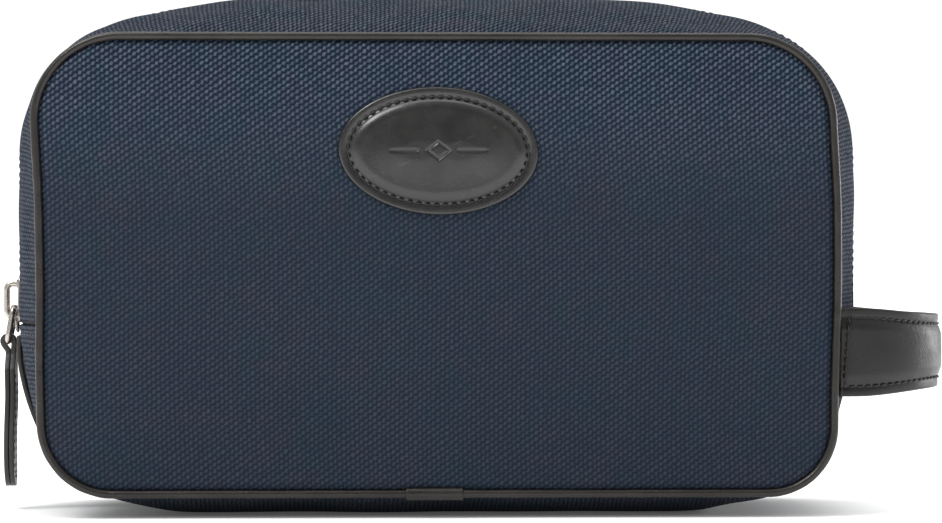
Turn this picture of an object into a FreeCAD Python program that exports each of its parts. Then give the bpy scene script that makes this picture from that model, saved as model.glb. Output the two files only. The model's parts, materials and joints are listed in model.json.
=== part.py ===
import FreeCAD, Part
import math
import os
import Sketcher

# Wash bag for shaving gear: two flat piped panels joined by a gusset that bulges outwards, a coil zip that
# runs up one side, over the top and down the other, a leather handle loop on the right side, a leather zip
# pull on the left side and an oval leather patch on the front.
# Frame: millimetres, +Z up, front faces -Y, handle at +X. The origin is on the ground under the middle of
# the bag's body.

Vector = FreeCAD.Vector
Rotation = FreeCAD.Rotation
Placement = FreeCAD.Placement

doc = FreeCAD.newDocument("wash_bag")

DIMENSIONS = {
    # gusset outline where it is sewn to the panels
    "seam_half_width": 118.6,
    "seam_low": 6.5,
    "seam_high": 142.6,
    "seam_corner": 26.0,
    "seam_depth": 43.1,
    # gusset outline half way between the panels, where it bulges most
    "mid_half_width": 126.9,
    "mid_low": -3.0,
    "mid_high": 156.1,
    "mid_corner_low": 66.6,
    "mid_corner_high": 50.0,
    # cloth
    "fabric": 1.0,
    "foam": 2.0,
    "lining": 0.6,
    "lining_inset": 1.1,
    "lining_back": 1.7,
    "layer_gap": 0.1,
    "datum_drop": 20.0,
    "room_margin": 20.0,
    # panels
    "panel_half_width": 116.2,
    "panel_low": 8.9,
    "panel_high": 140.2,
    "panel_corner": 23.6,
    "panel_face": 45.9,
    # piping
    "piping_half_width": 118.1,
    "piping_low": 7.0,
    "piping_high": 142.1,
    "piping_corner": 25.5,
    "piping_depth": 45.05,
    "piping_radius": 1.45,
    "core_radius": 0.9,
    "core_clearance": 0.05,
    "sleeve_radius": 1.85,
    "sleeve_length": 17.0,
    "sleeve_centre": -2.0,
    # gusset seams and zip
    "side_seam": 56.6,
    "seam_gap": 0.2,
    "strip_edge": 6.0,
    "tape_inner_edge": 0.8,
    "tape_outer_edge": 14.0,
    "tape_inset": 2.4,
    "tape_back": 2.9,
    "coil_inset": 1.1,
    "coil_back": 2.3,
    "coil_outer_edge": 3.0,
    "lining_edge": 14.3,
    # mouth crease: the plane along which the front folds forwards
    "crease_front_depth": 47.0,
    "crease_front_height": 72.6,
    "crease_mid_height": 113.6,
    "crease_gap": 0.7,
    # slider
    "slider_low": 57.1,
    "slider_length": 13.5,
    "slider_half_width": 4.2,
    "slider_face": 127.6,
    "slider_plate": 1.4,
    "slider_inner_face": 123.6,
    "slider_inner_plate": 1.0,
    "slider_lip": 0.7,
    "slider_lip_depth": 1.3,
    "slider_corner": 2.0,
    "diamond_half_width": 0.4,
    "diamond_length": 4.0,
    "diamond_low": 1.0,
    "nose_half_width": 2.6,
    "nose_drop": 3.2,
    "nose_rise": 1.1,
    "nose_lap": 0.8,
    "foot_rise": 0.5,
    "foot_half_width": 1.4,
    "foot_half_length": 1.3,
    "crown_out": 131.25,
    "crown_low": 58.8,
    "crown_high": 68.8,
    "crown_bend": 1.7,
    "crown_wire": 0.95,
    "crown_gap": 0.05,
    # link and pull
    "link_top_x": 128.9,
    "link_top": 61.5,
    "link_length": 10.4,
    "link_tilt": 9.9,
    "link_half_width": 4.2,
    "link_corner": 2.2,
    "link_wire": 0.95,
    "pull_loop": 2.4,
    "pull_hole": 1.15,
    "pull_tongue": 2.3,
    "pull_face": 131.45,
    "pull_thickness": 3.1,
    "pull_half_width": 6.5,
    "pull_bottom": 6.9,
    "pull_shoulder": 43.1,
    "pull_neck": 47.9,
    # end tab
    "tab_half_width": 7.0,
    "tab_thickness": 1.6,
    # handle
    "handle_low": 35.4,
    "handle_high": 61.8,
    "handle_taper": 1.8,
    "handle_start": 119.4,
    "handle_reach": 154.4,
    "handle_half_depth": 43.0,
    "handle_bend": 34.0,
    "handle_leather": 1.3,
    "handle_filler": 2.2,
    "handle_gap": 0.05,
    "handle_filler_edge": 3.0,
    "handle_taper_length": 26.0,
    "handle_pivot": 123.0,
    "handle_pivot_gap": 0.5,
    "handle_swing_room": 17.0,
    "handle_clear_inset": -0.1,
    # patch
    "patch_half_width": 29.6,
    "patch_half_height": 19.0,
    "patch_height": 108.2,
    "patch_centre": 0.4,
    "patch_leather": 1.1,
    "patch_rise": 0.9,
    "patch_rim": 5.6,
    "patch_gap": 0.05,
    # stitches
    "stitch_length": 1.7,
    "stitch_pitch": 2.6,
    "stitch_thread": 0.45,
    "stitch_rise": 0.32,
    "stitch_inset": 3.0,
    # inner pocket
    "pocket_half_width": 85.0,
    "pocket_low": 26.6,
    "pocket_high": 96.6,
    "pocket_gap": 0.4,
    "pocket_binding": 4.0,
}

sheet = doc.addObject("Spreadsheet::Sheet", "Dimensions")
for row, (alias, value) in enumerate(DIMENSIONS.items(), start=1):
    sheet.set(f"A{row}", alias)
    sheet.set(f"B{row}", str(value))
    sheet.setAlias(f"B{row}", alias)
doc.recompute()

NODES = []
MARGIN = 40.0


def size(alias):
    """A driving dimension read from the sheet."""
    return float(sheet.get(alias))


def cell(text):
    """An expression in which every alias is looked up in the sheet."""
    words = []
    for word in text.split():
        words.append(f"Dimensions.{word}" if word in DIMENSIONS else word)
    return " ".join(words)


def value_of(text):
    """The number that an expression of aliases stands for, to start a sketch near its solution."""
    total = 0.0
    sign = 1.0
    for word in text.split():
        if word in ("+", "-"):
            sign = 1.0 if word == "+" else -1.0
        else:
            total += sign * (size(word) if word in DIMENSIONS else float(word))
    return total


def bind(obj, **expressions):
    """Tie properties to the sheet; a double underscore in a name stands for a dot."""
    for name, text in expressions.items():
        obj.setExpression(name.replace("__", "."), cell(text))
    return obj


def node(obj, label):
    """Name a finished sub-part; its label is its file's name."""
    obj.Label = label
    NODES.append(obj)
    return obj


def cut(name, base, tool):
    obj = doc.addObject("Part::Cut", name)
    obj.Base = base
    obj.Tool = tool
    return obj


def common(name, base, tool):
    obj = doc.addObject("Part::Common", name)
    obj.Base = base
    obj.Tool = tool
    return obj


def fuse(name, *shapes):
    obj = doc.addObject("Part::MultiFuse", name)
    obj.Shapes = list(shapes)
    return obj


def box(name, x, y, z):
    """A box from (low, high) expressions on each axis."""
    obj = doc.addObject("Part::Box", name)
    for axis, prop, (low, high) in zip("xyz", ("Length", "Width", "Height"), (x, y, z)):
        obj.setExpression(f"Placement.Base.{axis}", cell(low))
        obj.setExpression(prop, f"({cell(high)}) - ({cell(low)})")
    return obj


def cylinder(name, radius, height, base, direction):
    """A cylinder from its base point along a direction."""
    obj = doc.addObject("Part::Cylinder", name)
    obj.Placement = Placement(Vector(0, 0, 0), Rotation(Vector(0, 0, 1), direction))
    obj.setExpression("Radius", cell(radius))
    obj.setExpression("Height", cell(height))
    for axis, text in zip("xyz", base):
        obj.setExpression(f"Placement.Base.{axis}", cell(text))
    return obj


def rounded_frame(name, depth, half_width, low, high, corner_low, corner_high):
    """A closed outline in an XZ plane: four straight sides joined by tangent arcs."""
    sketch = doc.addObject("Sketcher::SketchObject", name)
    sketch.Placement = Placement(Vector(0, 0, 0), Rotation(Vector(1, 0, 0), 90))
    sketch.setExpression("Placement.Base.y", cell(depth))
    sketch.setExpression("Placement.Base.z", cell("0 - datum_drop"))
    half = value_of(half_width)
    bottom = value_of(f"{low} + datum_drop")
    top = value_of(f"{high} + datum_drop")
    small = value_of(corner_low)
    large = value_of(corner_high)
    corners = (
        (half - small, bottom + small, small, -90),
        (half - large, top - large, large, 0),
        (large - half, top - large, large, 90),
        (small - half, bottom + small, small, 180),
    )
    ends = []
    arcs = []
    for cx, cz, radius, start in corners:
        first = math.radians(start)
        last = math.radians(start + 90)
        circle = Part.Circle(Vector(cx, cz, 0), Vector(0, 0, 1), radius)
        arcs.append(Part.ArcOfCircle(circle, first, last))
        ends.append((
            Vector(cx + radius * math.cos(first), cz + radius * math.sin(first), 0),
            Vector(cx + radius * math.cos(last), cz + radius * math.sin(last), 0),
        ))
    geometry = []
    for index, arc in enumerate(arcs):
        geometry.append(Part.LineSegment(ends[index - 1][1], ends[index][0]))
        geometry.append(arc)
    sketch.addGeometry(geometry, False)
    count = len(geometry)
    for index in range(count):
        sketch.addConstraint(Sketcher.Constraint("Tangent", index, 2, (index + 1) % count, 1))
    for index, kind in ((0, "Horizontal"), (2, "Vertical"), (4, "Horizontal"), (6, "Vertical")):
        sketch.addConstraint(Sketcher.Constraint(kind, index))
    sketch.addConstraint(Sketcher.Constraint("Equal", 1, 7))
    sketch.addConstraint(Sketcher.Constraint("Equal", 3, 5))
    bound = (
        (Sketcher.Constraint("Radius", 1, small), corner_low),
        (Sketcher.Constraint("Radius", 3, large), corner_high),
        (Sketcher.Constraint("DistanceX", -1, 1, 2, 1, half), half_width),
        (Sketcher.Constraint("DistanceX", 6, 1, -1, 1, half), half_width),
        (Sketcher.Constraint("DistanceY", -1, 1, 0, 1, bottom), f"{low} + datum_drop"),
        (Sketcher.Constraint("DistanceY", -1, 1, 4, 1, top), f"{high} + datum_drop"),
    )
    for constraint, text in bound:
        index = sketch.addConstraint(constraint)
        sketch.setExpression(f"Constraints[{index}]", cell(text))
    return sketch


def bulge(name, inset):
    """The solid inside the gusset's surface, moved inwards by an inset: a loft through three outlines."""
    sections = []
    for place, depth, edge in (("front", "0 - seam_depth", "seam"), ("mid", "0", "mid"),
                               ("rear", "seam_depth", "seam")):
        corner_low = "seam_corner" if edge == "seam" else "mid_corner_low"
        corner_high = "seam_corner" if edge == "seam" else "mid_corner_high"
        sections.append(rounded_frame(
            f"{name}_{place}", depth, f"{edge}_half_width - {inset}", f"{edge}_low + {inset}",
            f"{edge}_high - {inset}", f"{corner_low} - {inset}", f"{corner_high} - {inset}"))
    loft = doc.addObject("Part::Loft", name)
    loft.Sections = sections
    loft.Solid = True
    loft.Ruled = False
    return loft


def prism(name, sketch, direction, length, symmetric=False):
    """A solid pushed out from a closed outline."""
    obj = doc.addObject("Part::Extrusion", name)
    obj.Base = sketch
    obj.DirMode = "Custom"
    obj.Dir = direction
    obj.Solid = True
    obj.Symmetric = symmetric
    obj.setExpression("LengthFwd", cell(length))
    return obj


def outline(name, placement, edges):
    """A closed sketch from ready edges."""
    sketch = doc.addObject("Sketcher::SketchObject", name)
    sketch.Placement = placement
    sketch.addGeometry(edges, False)
    for index in range(len(edges)):
        sketch.addConstraint(Sketcher.Constraint("Block", index))
    return sketch


def polygon(points):
    """Straight edges through a ring of points."""
    ring = [Vector(a, b, 0) for a, b in points]
    return [Part.LineSegment(ring[i], ring[(i + 1) % len(ring)]) for i in range(len(ring))]


def sweep(name, section, spine):
    """A round wire or tube along a spine."""
    obj = doc.addObject("Part::Sweep", name)
    obj.Sections = [section]
    obj.Spine = (spine, [])
    obj.Solid = True
    obj.Frenet = True
    return obj


def disc(name, radius, placement, **bases):
    """A circle that is swept along a spine."""
    obj = doc.addObject("Part::Circle", name)
    obj.Placement = placement
    obj.setExpression("Radius", cell(radius))
    for axis, text in bases.items():
        obj.setExpression(f"Placement.Base.{axis}", cell(text))
    return obj


# ---- solids that several pieces are cut from ----

gusset_outside = bulge("gusset_outside", "0")
gusset_inside = bulge("gusset_inside", "fabric")
lining_outside = bulge("lining_outside", "lining_inset")
lining_inside = bulge("lining_inside", "lining_back")
coil_outside = bulge("coil_outside", "coil_inset")
coil_inside = bulge("coil_inside", "coil_back")
tape_outside = bulge("tape_outside", "tape_inset")
tape_inside = bulge("tape_inside", "tape_back")

ACROSS = ("0 - mid_half_width - room_margin", "mid_half_width + room_margin")
THROUGH = ("0 - seam_depth - room_margin", "seam_depth + room_margin")
UP_TO_TOP = "mid_high + room_margin"


def crease_region(name, front):
    """The room in front of (True) or behind the crease plane, as a prism across the bag."""
    depth = size("crease_front_depth")
    low = size("crease_front_height")
    high = size("crease_mid_height")
    slope = (high - low) / depth
    lift = size("crease_gap") * math.sqrt(1 + slope * slope)
    reach = depth + MARGIN
    if front:
        points = ((-reach, low - MARGIN * slope), (0, high), (0, high + 2 * MARGIN),
                  (-reach, high + 2 * MARGIN))
    else:
        points = ((-reach, low - MARGIN * slope - lift), (0, high - lift), (0, -2 * MARGIN),
                  (-reach, -2 * MARGIN))
    turned = Placement(Vector(0, 0, 0), Rotation(Vector(0, 1, 0), Vector(0, 0, 1), Vector(1, 0, 0), "ZXY"))
    sketch = outline(f"{name}_outline", turned, polygon(points))
    width = "2 * mid_half_width + 3 * room_margin"
    return prism(name, sketch, Vector(1, 0, 0), width, symmetric=True)


flap_room = crease_region("flap_room", True)
fixed_room = crease_region("fixed_room", False)


# ---- gusset: base and lower sides ----

def base_layer(name, outside, inside, floor_low, floor_high):
    """One U-shaped layer below the side seams, flat where it stands."""
    room = box(f"{name}_room", ACROSS, THROUGH, (floor_low, "side_seam"))
    hollow = box(f"{name}_hollow", ACROSS, THROUGH, (floor_high, UP_TO_TOP))
    solid = common(f"{name}_solid", outside, room)
    core = common(f"{name}_core", inside, hollow)
    return cut(f"{name}_layer", solid, core)


node(base_layer("base_gusset", gusset_outside, gusset_inside, "0", "fabric"), "base_gusset")
node(base_layer("base_lining", lining_outside, lining_inside, "lining_inset", "lining_back"), "base_lining")


# ---- gusset: arched strips, their linings, zip tapes and coils ----

def arch(name, outside, inside, near, far, front, low="side_seam + seam_gap"):
    """An arched strip above the side seams between two distances from the middle."""
    ring = cut(f"{name}_ring", outside, inside)
    span = (f"0 - ( {far} )", f"0 - ( {near} )") if front else (near, far)
    room = box(f"{name}_room", ACROSS, span, (low, UP_TO_TOP))
    return common(f"{name}_arch", ring, room)


ARCHES = (
    ("zip_strip", gusset_outside, gusset_inside, "strip_edge", "seam_depth"),
    ("strip_lining", lining_outside, lining_inside, "lining_edge", "seam_depth"),
    ("zip_tape", tape_outside, tape_inside, "tape_inner_edge", "tape_outer_edge"),
    ("zip_coil", coil_outside, coil_inside, "tape_inner_edge", "coil_outer_edge"),
)
for part_name, outside, inside, near, far in ARCHES:
    node(arch(f"rear_{part_name}", outside, inside, near, far, False), f"rear_{part_name}")
    whole = arch(f"front_{part_name}", outside, inside, near, far, True)
    node(common(f"front_{part_name}_moving", whole, flap_room), f"front_{part_name}")
    node(common(f"front_{part_name}_fixed", whole, fixed_room), f"front_{part_name}_ends")


# ---- panels ----

def panel_layer(name, face, thickness, front):
    """A flat layer of a panel; face is the distance of its outer side from the middle."""
    depth = f"0 - ( {face} )" if front else face
    outer = rounded_frame(f"{name}_outline", depth, "panel_half_width", "panel_low", "panel_high",
                          "panel_corner", "panel_corner")
    inwards = Vector(0, 1, 0) if front else Vector(0, -1, 0)
    return prism(f"{name}_sheet", outer, inwards, thickness)


LAYERS = (
    ("panel", "panel_face", "fabric"),
    ("foam", "panel_face - fabric - layer_gap", "foam"),
    ("lining", "panel_face - fabric - foam - layer_gap - layer_gap", "lining"),
)
for part_name, face, thickness in LAYERS:
    node(panel_layer(f"rear_{part_name}", face, thickness, False), f"rear_{part_name}")
    whole = panel_layer(f"front_{part_name}", face, thickness, True)
    node(common(f"front_{part_name}_moving", whole, flap_room), f"front_{part_name}_upper")
    node(common(f"front_{part_name}_fixed", whole, fixed_room), f"front_{part_name}_lower")


# ---- piping, its core and the sleeves over its joints ----

def piping_tube(name, radius, depth):
    """A solid round ring along a panel's edge."""
    spine = rounded_frame(f"{name}_spine", depth, "piping_half_width", "piping_low", "piping_high",
                          "piping_corner", "piping_corner")
    facing = Placement(Vector(0, 0, 0), Rotation(Vector(0, 0, 1), Vector(1, 0, 0)))
    section = disc(f"{name}_section", radius, facing, y=depth, z="piping_low")
    return sweep(f"{name}_sweep", section, spine)


for side, depth in (("rear", "piping_depth"), ("front", "0 - piping_depth")):
    skin = piping_tube(f"{side}_piping_skin", "piping_radius", depth)
    bore = piping_tube(f"{side}_piping_bore", "core_radius + core_clearance", depth)
    core = piping_tube(f"{side}_piping_core", "core_radius", depth)
    tube = cut(f"{side}_piping_tube", skin, bore)
    if side == "rear":
        node(tube, "rear_piping")
        node(core, "rear_piping_cord")
    else:
        node(common("front_piping_moving", tube, flap_room), "front_piping_upper")
        node(common("front_piping_fixed", tube, fixed_room), "front_piping_lower")
        node(common("front_cord_moving", core, flap_room), "front_piping_cord_upper")
        node(common("front_cord_fixed", core, fixed_room), "front_piping_cord_lower")
    start = ("sleeve_centre - sleeve_length / 2", depth, "piping_low")
    sleeve = cylinder(f"{side}_sleeve_outside", "sleeve_radius", "sleeve_length", start, Vector(1, 0, 0))
    hole = cylinder(f"{side}_sleeve_hole", "piping_radius + core_clearance", "sleeve_length", start,
                    Vector(1, 0, 0))
    node(cut(f"{side}_sleeve_tube", sleeve, hole), f"{side}_piping_sleeve")


# ---- slider ----

def rounded_plate(name, x, half_width, z):
    """One of the slider's plates, in a YZ plane with rounded corners."""
    radius = size("slider_corner")
    blank = box(f"{name}_blank", x, (f"0 - {half_width}", half_width), z)
    doc.recompute()
    edges = []
    for index, edge in enumerate(blank.Shape.Edges, start=1):
        direction = edge.Vertexes[1].Point - edge.Vertexes[0].Point
        if abs(direction.x) > 0.9 * edge.Length:
            edges.append((index, radius, radius))
    plate = doc.addObject("Part::Fillet", name)
    plate.Base = blank
    plate.Edges = edges
    return plate


def slider_body():
    """Outer plate with side lips and a nose, inner plate, and the post between them."""
    height = ("slider_low", "slider_low + slider_length")
    outer = rounded_plate("slider_outer_plate", ("0 - slider_face", "slider_plate - slider_face"),
                          "slider_half_width", height)
    inner_face = "slider_inner_face"
    inner = rounded_plate("slider_under_plate", (f"0 - {inner_face}", f"slider_inner_plate - {inner_face}"),
                          "slider_half_width", height)
    lips = []
    lip_x = ("slider_plate - slider_face", "slider_plate - slider_face + slider_lip_depth")
    lip_z = ("slider_low + slider_corner", "slider_low + slider_length - slider_corner")
    for sign, span in (("left", ("0 - slider_half_width", "slider_lip - slider_half_width")),
                       ("right", ("slider_half_width - slider_lip", "slider_half_width"))):
        lips.append(box(f"slider_lip_{sign}", lip_x, span, lip_z))
    post = box("slider_post", ("slider_plate - slider_face", f"0 - {inner_face}"),
               ("0 - diamond_half_width", "diamond_half_width"),
               ("slider_low + diamond_low", "slider_low + diamond_low + diamond_length"))
    nose = box("slider_nose", ("0 - slider_face - nose_rise", "0 - slider_face"),
               ("0 - nose_half_width", "nose_half_width"),
               ("slider_low - nose_drop", "slider_low + nose_lap"))
    foot = box("slider_crown_foot", ("0 - slider_face - foot_rise", "0 - slider_face"),
               ("0 - foot_half_width", "foot_half_width"),
               ("crown_high - foot_half_length", "crown_high + foot_half_length"))
    return fuse("slider_body", outer, inner, *lips, post, nose, foot)


def crown_loop():
    """A C-shaped wire standing on the slider, in the plane of the zip."""
    out = size("crown_out")
    base = size("slider_face")
    low = size("crown_low")
    high = size("crown_high")
    bend = size("crown_bend")
    gap = size("crown_gap")
    points = (
        (-base - size("foot_rise") - gap, high),
        (-out + bend, high),
        (-out, high - bend),
        (-out, low + bend),
        (-out + bend, low),
        (-base - gap, low),
    )
    root = math.sqrt(0.5)
    upper = (-out + bend - bend * root, high - bend + bend * root)
    lower = (-out + bend - bend * root, low + bend - bend * root)
    flat = [Vector(a, b, 0) for a, b in points]
    edges = [
        Part.LineSegment(flat[0], flat[1]),
        Part.Arc(flat[1], Vector(upper[0], upper[1], 0), flat[2]),
        Part.LineSegment(flat[2], flat[3]),
        Part.Arc(flat[3], Vector(lower[0], lower[1], 0), flat[4]),
        Part.LineSegment(flat[4], flat[5]),
    ]
    spine = outline("crown_spine", Placement(Vector(0, 0, 0), Rotation(Vector(1, 0, 0), 90)), edges)
    facing = Placement(Vector(0, 0, 0), Rotation(Vector(0, 0, 1), Vector(1, 0, 0)))
    section = disc("crown_section", "crown_wire", facing, x="0 - slider_face - foot_rise - crown_gap",
                   z="crown_high")
    return sweep("crown_sweep", section, spine)


node(slider_body(), "zip_slider")
node(crown_loop(), "slider_crown")


# ---- link ring ----

def link_ring():
    """A rounded rectangular wire ring that hangs through the crown, tilted a little outwards."""
    half = size("link_half_width")
    bend = size("link_corner")
    drop = size("link_length")
    root = bend * (1 - math.sqrt(0.5))
    corners = (
        ((half - bend, 0), (half - root, -root), (half, -bend)),
        ((half, bend - drop), (half - root, root - drop), (half - bend, -drop)),
        ((bend - half, -drop), (root - half, root - drop), (-half, bend - drop)),
        ((-half, -bend), (root - half, -root), (bend - half, 0)),
    )
    edges = []
    for index, corner in enumerate(corners):
        first, middle, last = [Vector(a, b, 0) for a, b in corner]
        edges.append(Part.Arc(first, middle, last))
        following = corners[(index + 1) % 4][0]
        edges.append(Part.LineSegment(last, Vector(following[0], following[1], 0)))
    upright = Rotation(Vector(0, 1, 0), Vector(0, 0, 1), Vector(1, 0, 0), "ZXY")
    tilt = Rotation(Vector(0, 1, 0), size("link_tilt"))
    place = Placement(Vector(0, 0, 0), tilt.multiply(upright))
    spine = outline("link_spine", place, edges)
    spine.setExpression("Placement.Base.x", cell("0 - link_top_x"))
    spine.setExpression("Placement.Base.z", cell("link_top"))
    doc.recompute()
    start = spine.Shape.Wires[0].Edges[0].firstVertex(True).Point
    facing = Placement(start, Rotation(Vector(0, 0, 1), Vector(0, 1, 0)))
    section = disc("link_section", "link_wire", facing)
    return sweep("link_sweep", section, spine)


def link_foot():
    """Where the middle of the ring's lower bar lies."""
    tilt = math.radians(size("link_tilt"))
    drop = size("link_length")
    return (-size("link_top_x") - drop * math.sin(tilt), size("link_top") - drop * math.cos(tilt))


node(link_ring(), "pull_link")


# ---- folded leather pull ----

def pull_leather():
    """A strap folded round the ring: a loop, a narrow tongue, and a blade with a round end."""
    foot_x, foot_z = link_foot()
    half = size("pull_half_width")
    low = size("pull_bottom") + half
    tongue = size("pull_tongue")
    shoulder = size("pull_shoulder")
    neck = size("pull_neck")
    points = ((half, low), (half, shoulder), (tongue, neck), (tongue, foot_z), (-tongue, foot_z),
              (-tongue, neck), (-half, shoulder), (-half, low))
    ring = [Vector(a, b, 0) for a, b in points]
    edges = [Part.LineSegment(ring[i], ring[i + 1]) for i in range(len(ring) - 1)]
    edges.append(Part.Arc(ring[-1], Vector(0, low - half, 0), ring[0]))
    upright = Placement(Vector(0, 0, 0), Rotation(Vector(0, 1, 0), Vector(0, 0, 1), Vector(1, 0, 0), "ZXY"))
    sketch = outline("pull_outline", upright, edges)
    sketch.setExpression("Placement.Base.x", cell("0 - pull_face"))
    blade = prism("pull_blade", sketch, Vector(1, 0, 0), "pull_thickness")
    centre = (str(foot_x), "0 - pull_tongue", str(foot_z))
    across = Vector(0, 1, 0)
    eye = cylinder("pull_eye", "pull_loop", "pull_tongue + pull_tongue", centre, across)
    bore = cylinder("pull_bore", "pull_hole", "pull_tongue + pull_tongue", centre, across)
    return cut("pull_folded", fuse("pull_solid", blade, eye), bore)


node(pull_leather(), "zip_pull")


# ---- leather tab over the end of the zip ----

# its outer side seen from the front, (x, z), from the sewn end down to the tip
TAB_CURVE = ((-127.75, 53.2), (-127.65, 46.6), (-126.6, 40.1), (-124.6, 32.6), (-120.9, 22.6))


def end_tab():
    """A short stiff strap sewn on at its top, standing a little off the gusset below the slider."""
    thickness = size("tab_thickness")
    top = Vector(TAB_CURVE[0][0], TAB_CURVE[0][1], 0)
    tip = Vector(TAB_CURVE[-1][0], TAB_CURVE[-1][1], 0)
    curve = Part.BSplineCurve()
    curve.interpolate([Vector(a, b, 0) for a, b in TAB_CURVE])
    inner = Part.BSplineCurve()
    offsets = []
    for a, b in TAB_CURVE:
        parameter = curve.parameter(Vector(a, b, 0))
        along = curve.tangent(parameter)[0]
        offsets.append(Vector(a, b, 0) + Vector(-along.y, along.x, 0) * thickness)
    inner.interpolate(offsets)
    edges = [
        curve,
        Part.LineSegment(tip, offsets[-1]),
        inner,
        Part.LineSegment(offsets[0], top),
    ]
    face = Placement(Vector(0, 0, 0), Rotation(Vector(1, 0, 0), 90))
    sketch = outline("tab_outline", face, edges)
    return prism("tab_strap", sketch, Vector(0, 1, 0), "tab_half_width + tab_half_width", symmetric=True)


node(end_tab(), "zip_end_tab")


# ---- handle ----

def handle_band(name, inset, back, low, high):
    """One layer of the strap, bent in plan into a U between the two side seams."""
    start = size("handle_start")
    reach = size("handle_reach") - inset
    half = size("handle_half_depth") - inset
    bend = size("handle_bend") - inset
    thickness = back - inset
    root = math.sqrt(0.5)

    def arm(reach, half, bend):
        """The outline's run from the front end round to the rear end."""
        cx = reach - bend
        cy = half - bend
        front = (Vector(cx, -half, 0), Vector(cx + bend * root, -cy - bend * root, 0), Vector(reach, -cy, 0))
        rear = (Vector(reach, cy, 0), Vector(cx + bend * root, cy + bend * root, 0), Vector(cx, half, 0))
        return [
            Part.LineSegment(Vector(start, -half, 0), front[0]),
            Part.Arc(*front),
            Part.LineSegment(front[2], rear[0]),
            Part.Arc(*rear),
            Part.LineSegment(rear[2], Vector(start, half, 0)),
        ]

    outer = arm(reach, half, bend)
    inner = arm(reach - thickness, half - thickness, bend - thickness)
    edges = outer + inner
    edges.append(Part.LineSegment(Vector(start, -half, 0), Vector(start, thickness - half, 0)))
    edges.append(Part.LineSegment(Vector(start, half, 0), Vector(start, half - thickness, 0)))
    sketch = outline(f"{name}_plan", Placement(), edges)
    sketch.setExpression("Placement.Base.z", cell(low))
    return prism(f"{name}_band", sketch, Vector(0, 0, 1), f"( {high} ) - ( {low} )")


def swing_room(name, moving):
    """The room of the strap's loop or of its sewn ends, with a wedge between them for the swing."""
    pivot = size("handle_pivot")
    low = size("handle_low")
    high = size("handle_high")
    middle = (low + high) / 2
    lean = (high - low) / 2 * math.tan(math.radians(size("handle_swing_room") / 2))
    taper = size("handle_taper")
    full = size("handle_reach")
    shoulder = full - size("handle_taper_length")
    if moving:
        points = ((pivot, middle), (pivot + lean, low), (shoulder, low), (full, low + taper),
                  (full + MARGIN, low + taper), (full + MARGIN, high - taper), (full, high - taper),
                  (shoulder, high), (pivot + lean, high))
    else:
        edge = pivot - size("handle_pivot_gap")
        points = ((edge, middle), (edge - lean, high), (edge - MARGIN, high), (edge - MARGIN, low),
                  (edge - lean, low))
    upright = Placement(Vector(0, 0, 0), Rotation(Vector(1, 0, 0), 90))
    sketch = outline(f"{name}_outline", upright, polygon(points))
    return prism(name, sketch, Vector(0, 1, 0), "2 * seam_depth + 2 * room_margin", symmetric=True)


loop_room = swing_room("loop_room", True)
handle_clear = bulge("handle_clear", "handle_clear_inset")
ends_room = cut("clear_ends_room", swing_room("ends_room", False), handle_clear)
HANDLE_LAYERS = (
    ("outer", 0.0, size("handle_leather"), 0.0),
    ("filler", size("handle_leather") + size("handle_gap"),
     size("handle_leather") + size("handle_gap") + size("handle_filler"), size("handle_filler_edge")),
    ("inner", size("handle_leather") + size("handle_filler") + 2 * size("handle_gap"),
     2 * size("handle_leather") + size("handle_filler") + 2 * size("handle_gap"), 0.0),
)
for part_name, inset, back, edge in HANDLE_LAYERS:
    band = handle_band(f"handle_{part_name}", inset, back, f"handle_low + {edge}", f"handle_high - {edge}")
    node(common(f"handle_{part_name}_loop", band, loop_room), f"handle_{part_name}")
    if part_name != "filler":
        node(common(f"handle_{part_name}_sewn", band, ends_room), f"handle_{part_name}_ends")


# ---- patch ----

def oval(name, shrink, face, thickness):
    """An oval plate lying on the front panel; face is the distance of its back from the middle."""
    rim = doc.addObject("Part::Ellipse", f"{name}_rim")
    rim.Placement = Placement(Vector(0, 0, 0), Rotation(Vector(1, 0, 0), 90))
    bind(rim, MajorRadius=f"patch_half_width - ( {shrink} )", MinorRadius=f"patch_half_height - ( {shrink} )",
         Placement__Base__x="patch_centre", Placement__Base__y=f"0 - ( {face} )",
         Placement__Base__z="patch_height")
    return prism(name, rim, Vector(0, -1, 0), thickness)


patch_back = "panel_face + patch_gap"
patch_plate = oval("patch_plate", "0", patch_back, "patch_leather")
patch_dome = oval("patch_dome", "patch_rim - patch_leather", patch_back, "patch_leather + patch_rise")
patch_pocket = oval("patch_pocket", "patch_rim", patch_back, "patch_rise")
patch_body = cut("patch_body", fuse("patch_solid", patch_plate, patch_dome), patch_pocket)
node(patch_body, "patch_leather")
node(oval("patch_wadding", "patch_rim + patch_gap", patch_back, "patch_rise - patch_gap"), "patch_padding")


# ---- inner pocket ----

pocket_face = "panel_face - fabric - foam - lining - layer_gap - layer_gap - pocket_gap"
pocket_span = ("0 - pocket_half_width", "pocket_half_width")
pocket_back = box("pocket_back", pocket_span, (f"{pocket_face} - lining", pocket_face),
                  ("pocket_low", "pocket_high"))
node(pocket_back, "inner_pocket")
pocket_tape = box("pocket_tape", pocket_span, (f"{pocket_face} - lining - lining", pocket_face),
                  ("pocket_high + layer_gap", "pocket_high + pocket_binding"))
node(pocket_tape, "pocket_binding")


# ---- stitching: groups of short threads that lie on the leather ----

def thread(place, along, outwards):
    """One stitch: a short bar on a surface."""
    long = size("stitch_length")
    wide = size("stitch_thread")
    bar = Part.makeBox(long, wide, size("stitch_rise"), Vector(-long / 2, -wide / 2, size("patch_gap")))
    side = outwards.cross(along)
    turn = Rotation(along, side, outwards, "ZXY")
    bar.Placement = Placement(place, turn).multiply(bar.Placement)
    return bar


def stitching(label, bars):
    """A group of stitches as one sub-part."""
    obj = doc.addObject("Part::Feature", f"{label}_threads")
    obj.Shape = Part.makeCompound(bars)
    return node(obj, label)


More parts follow.
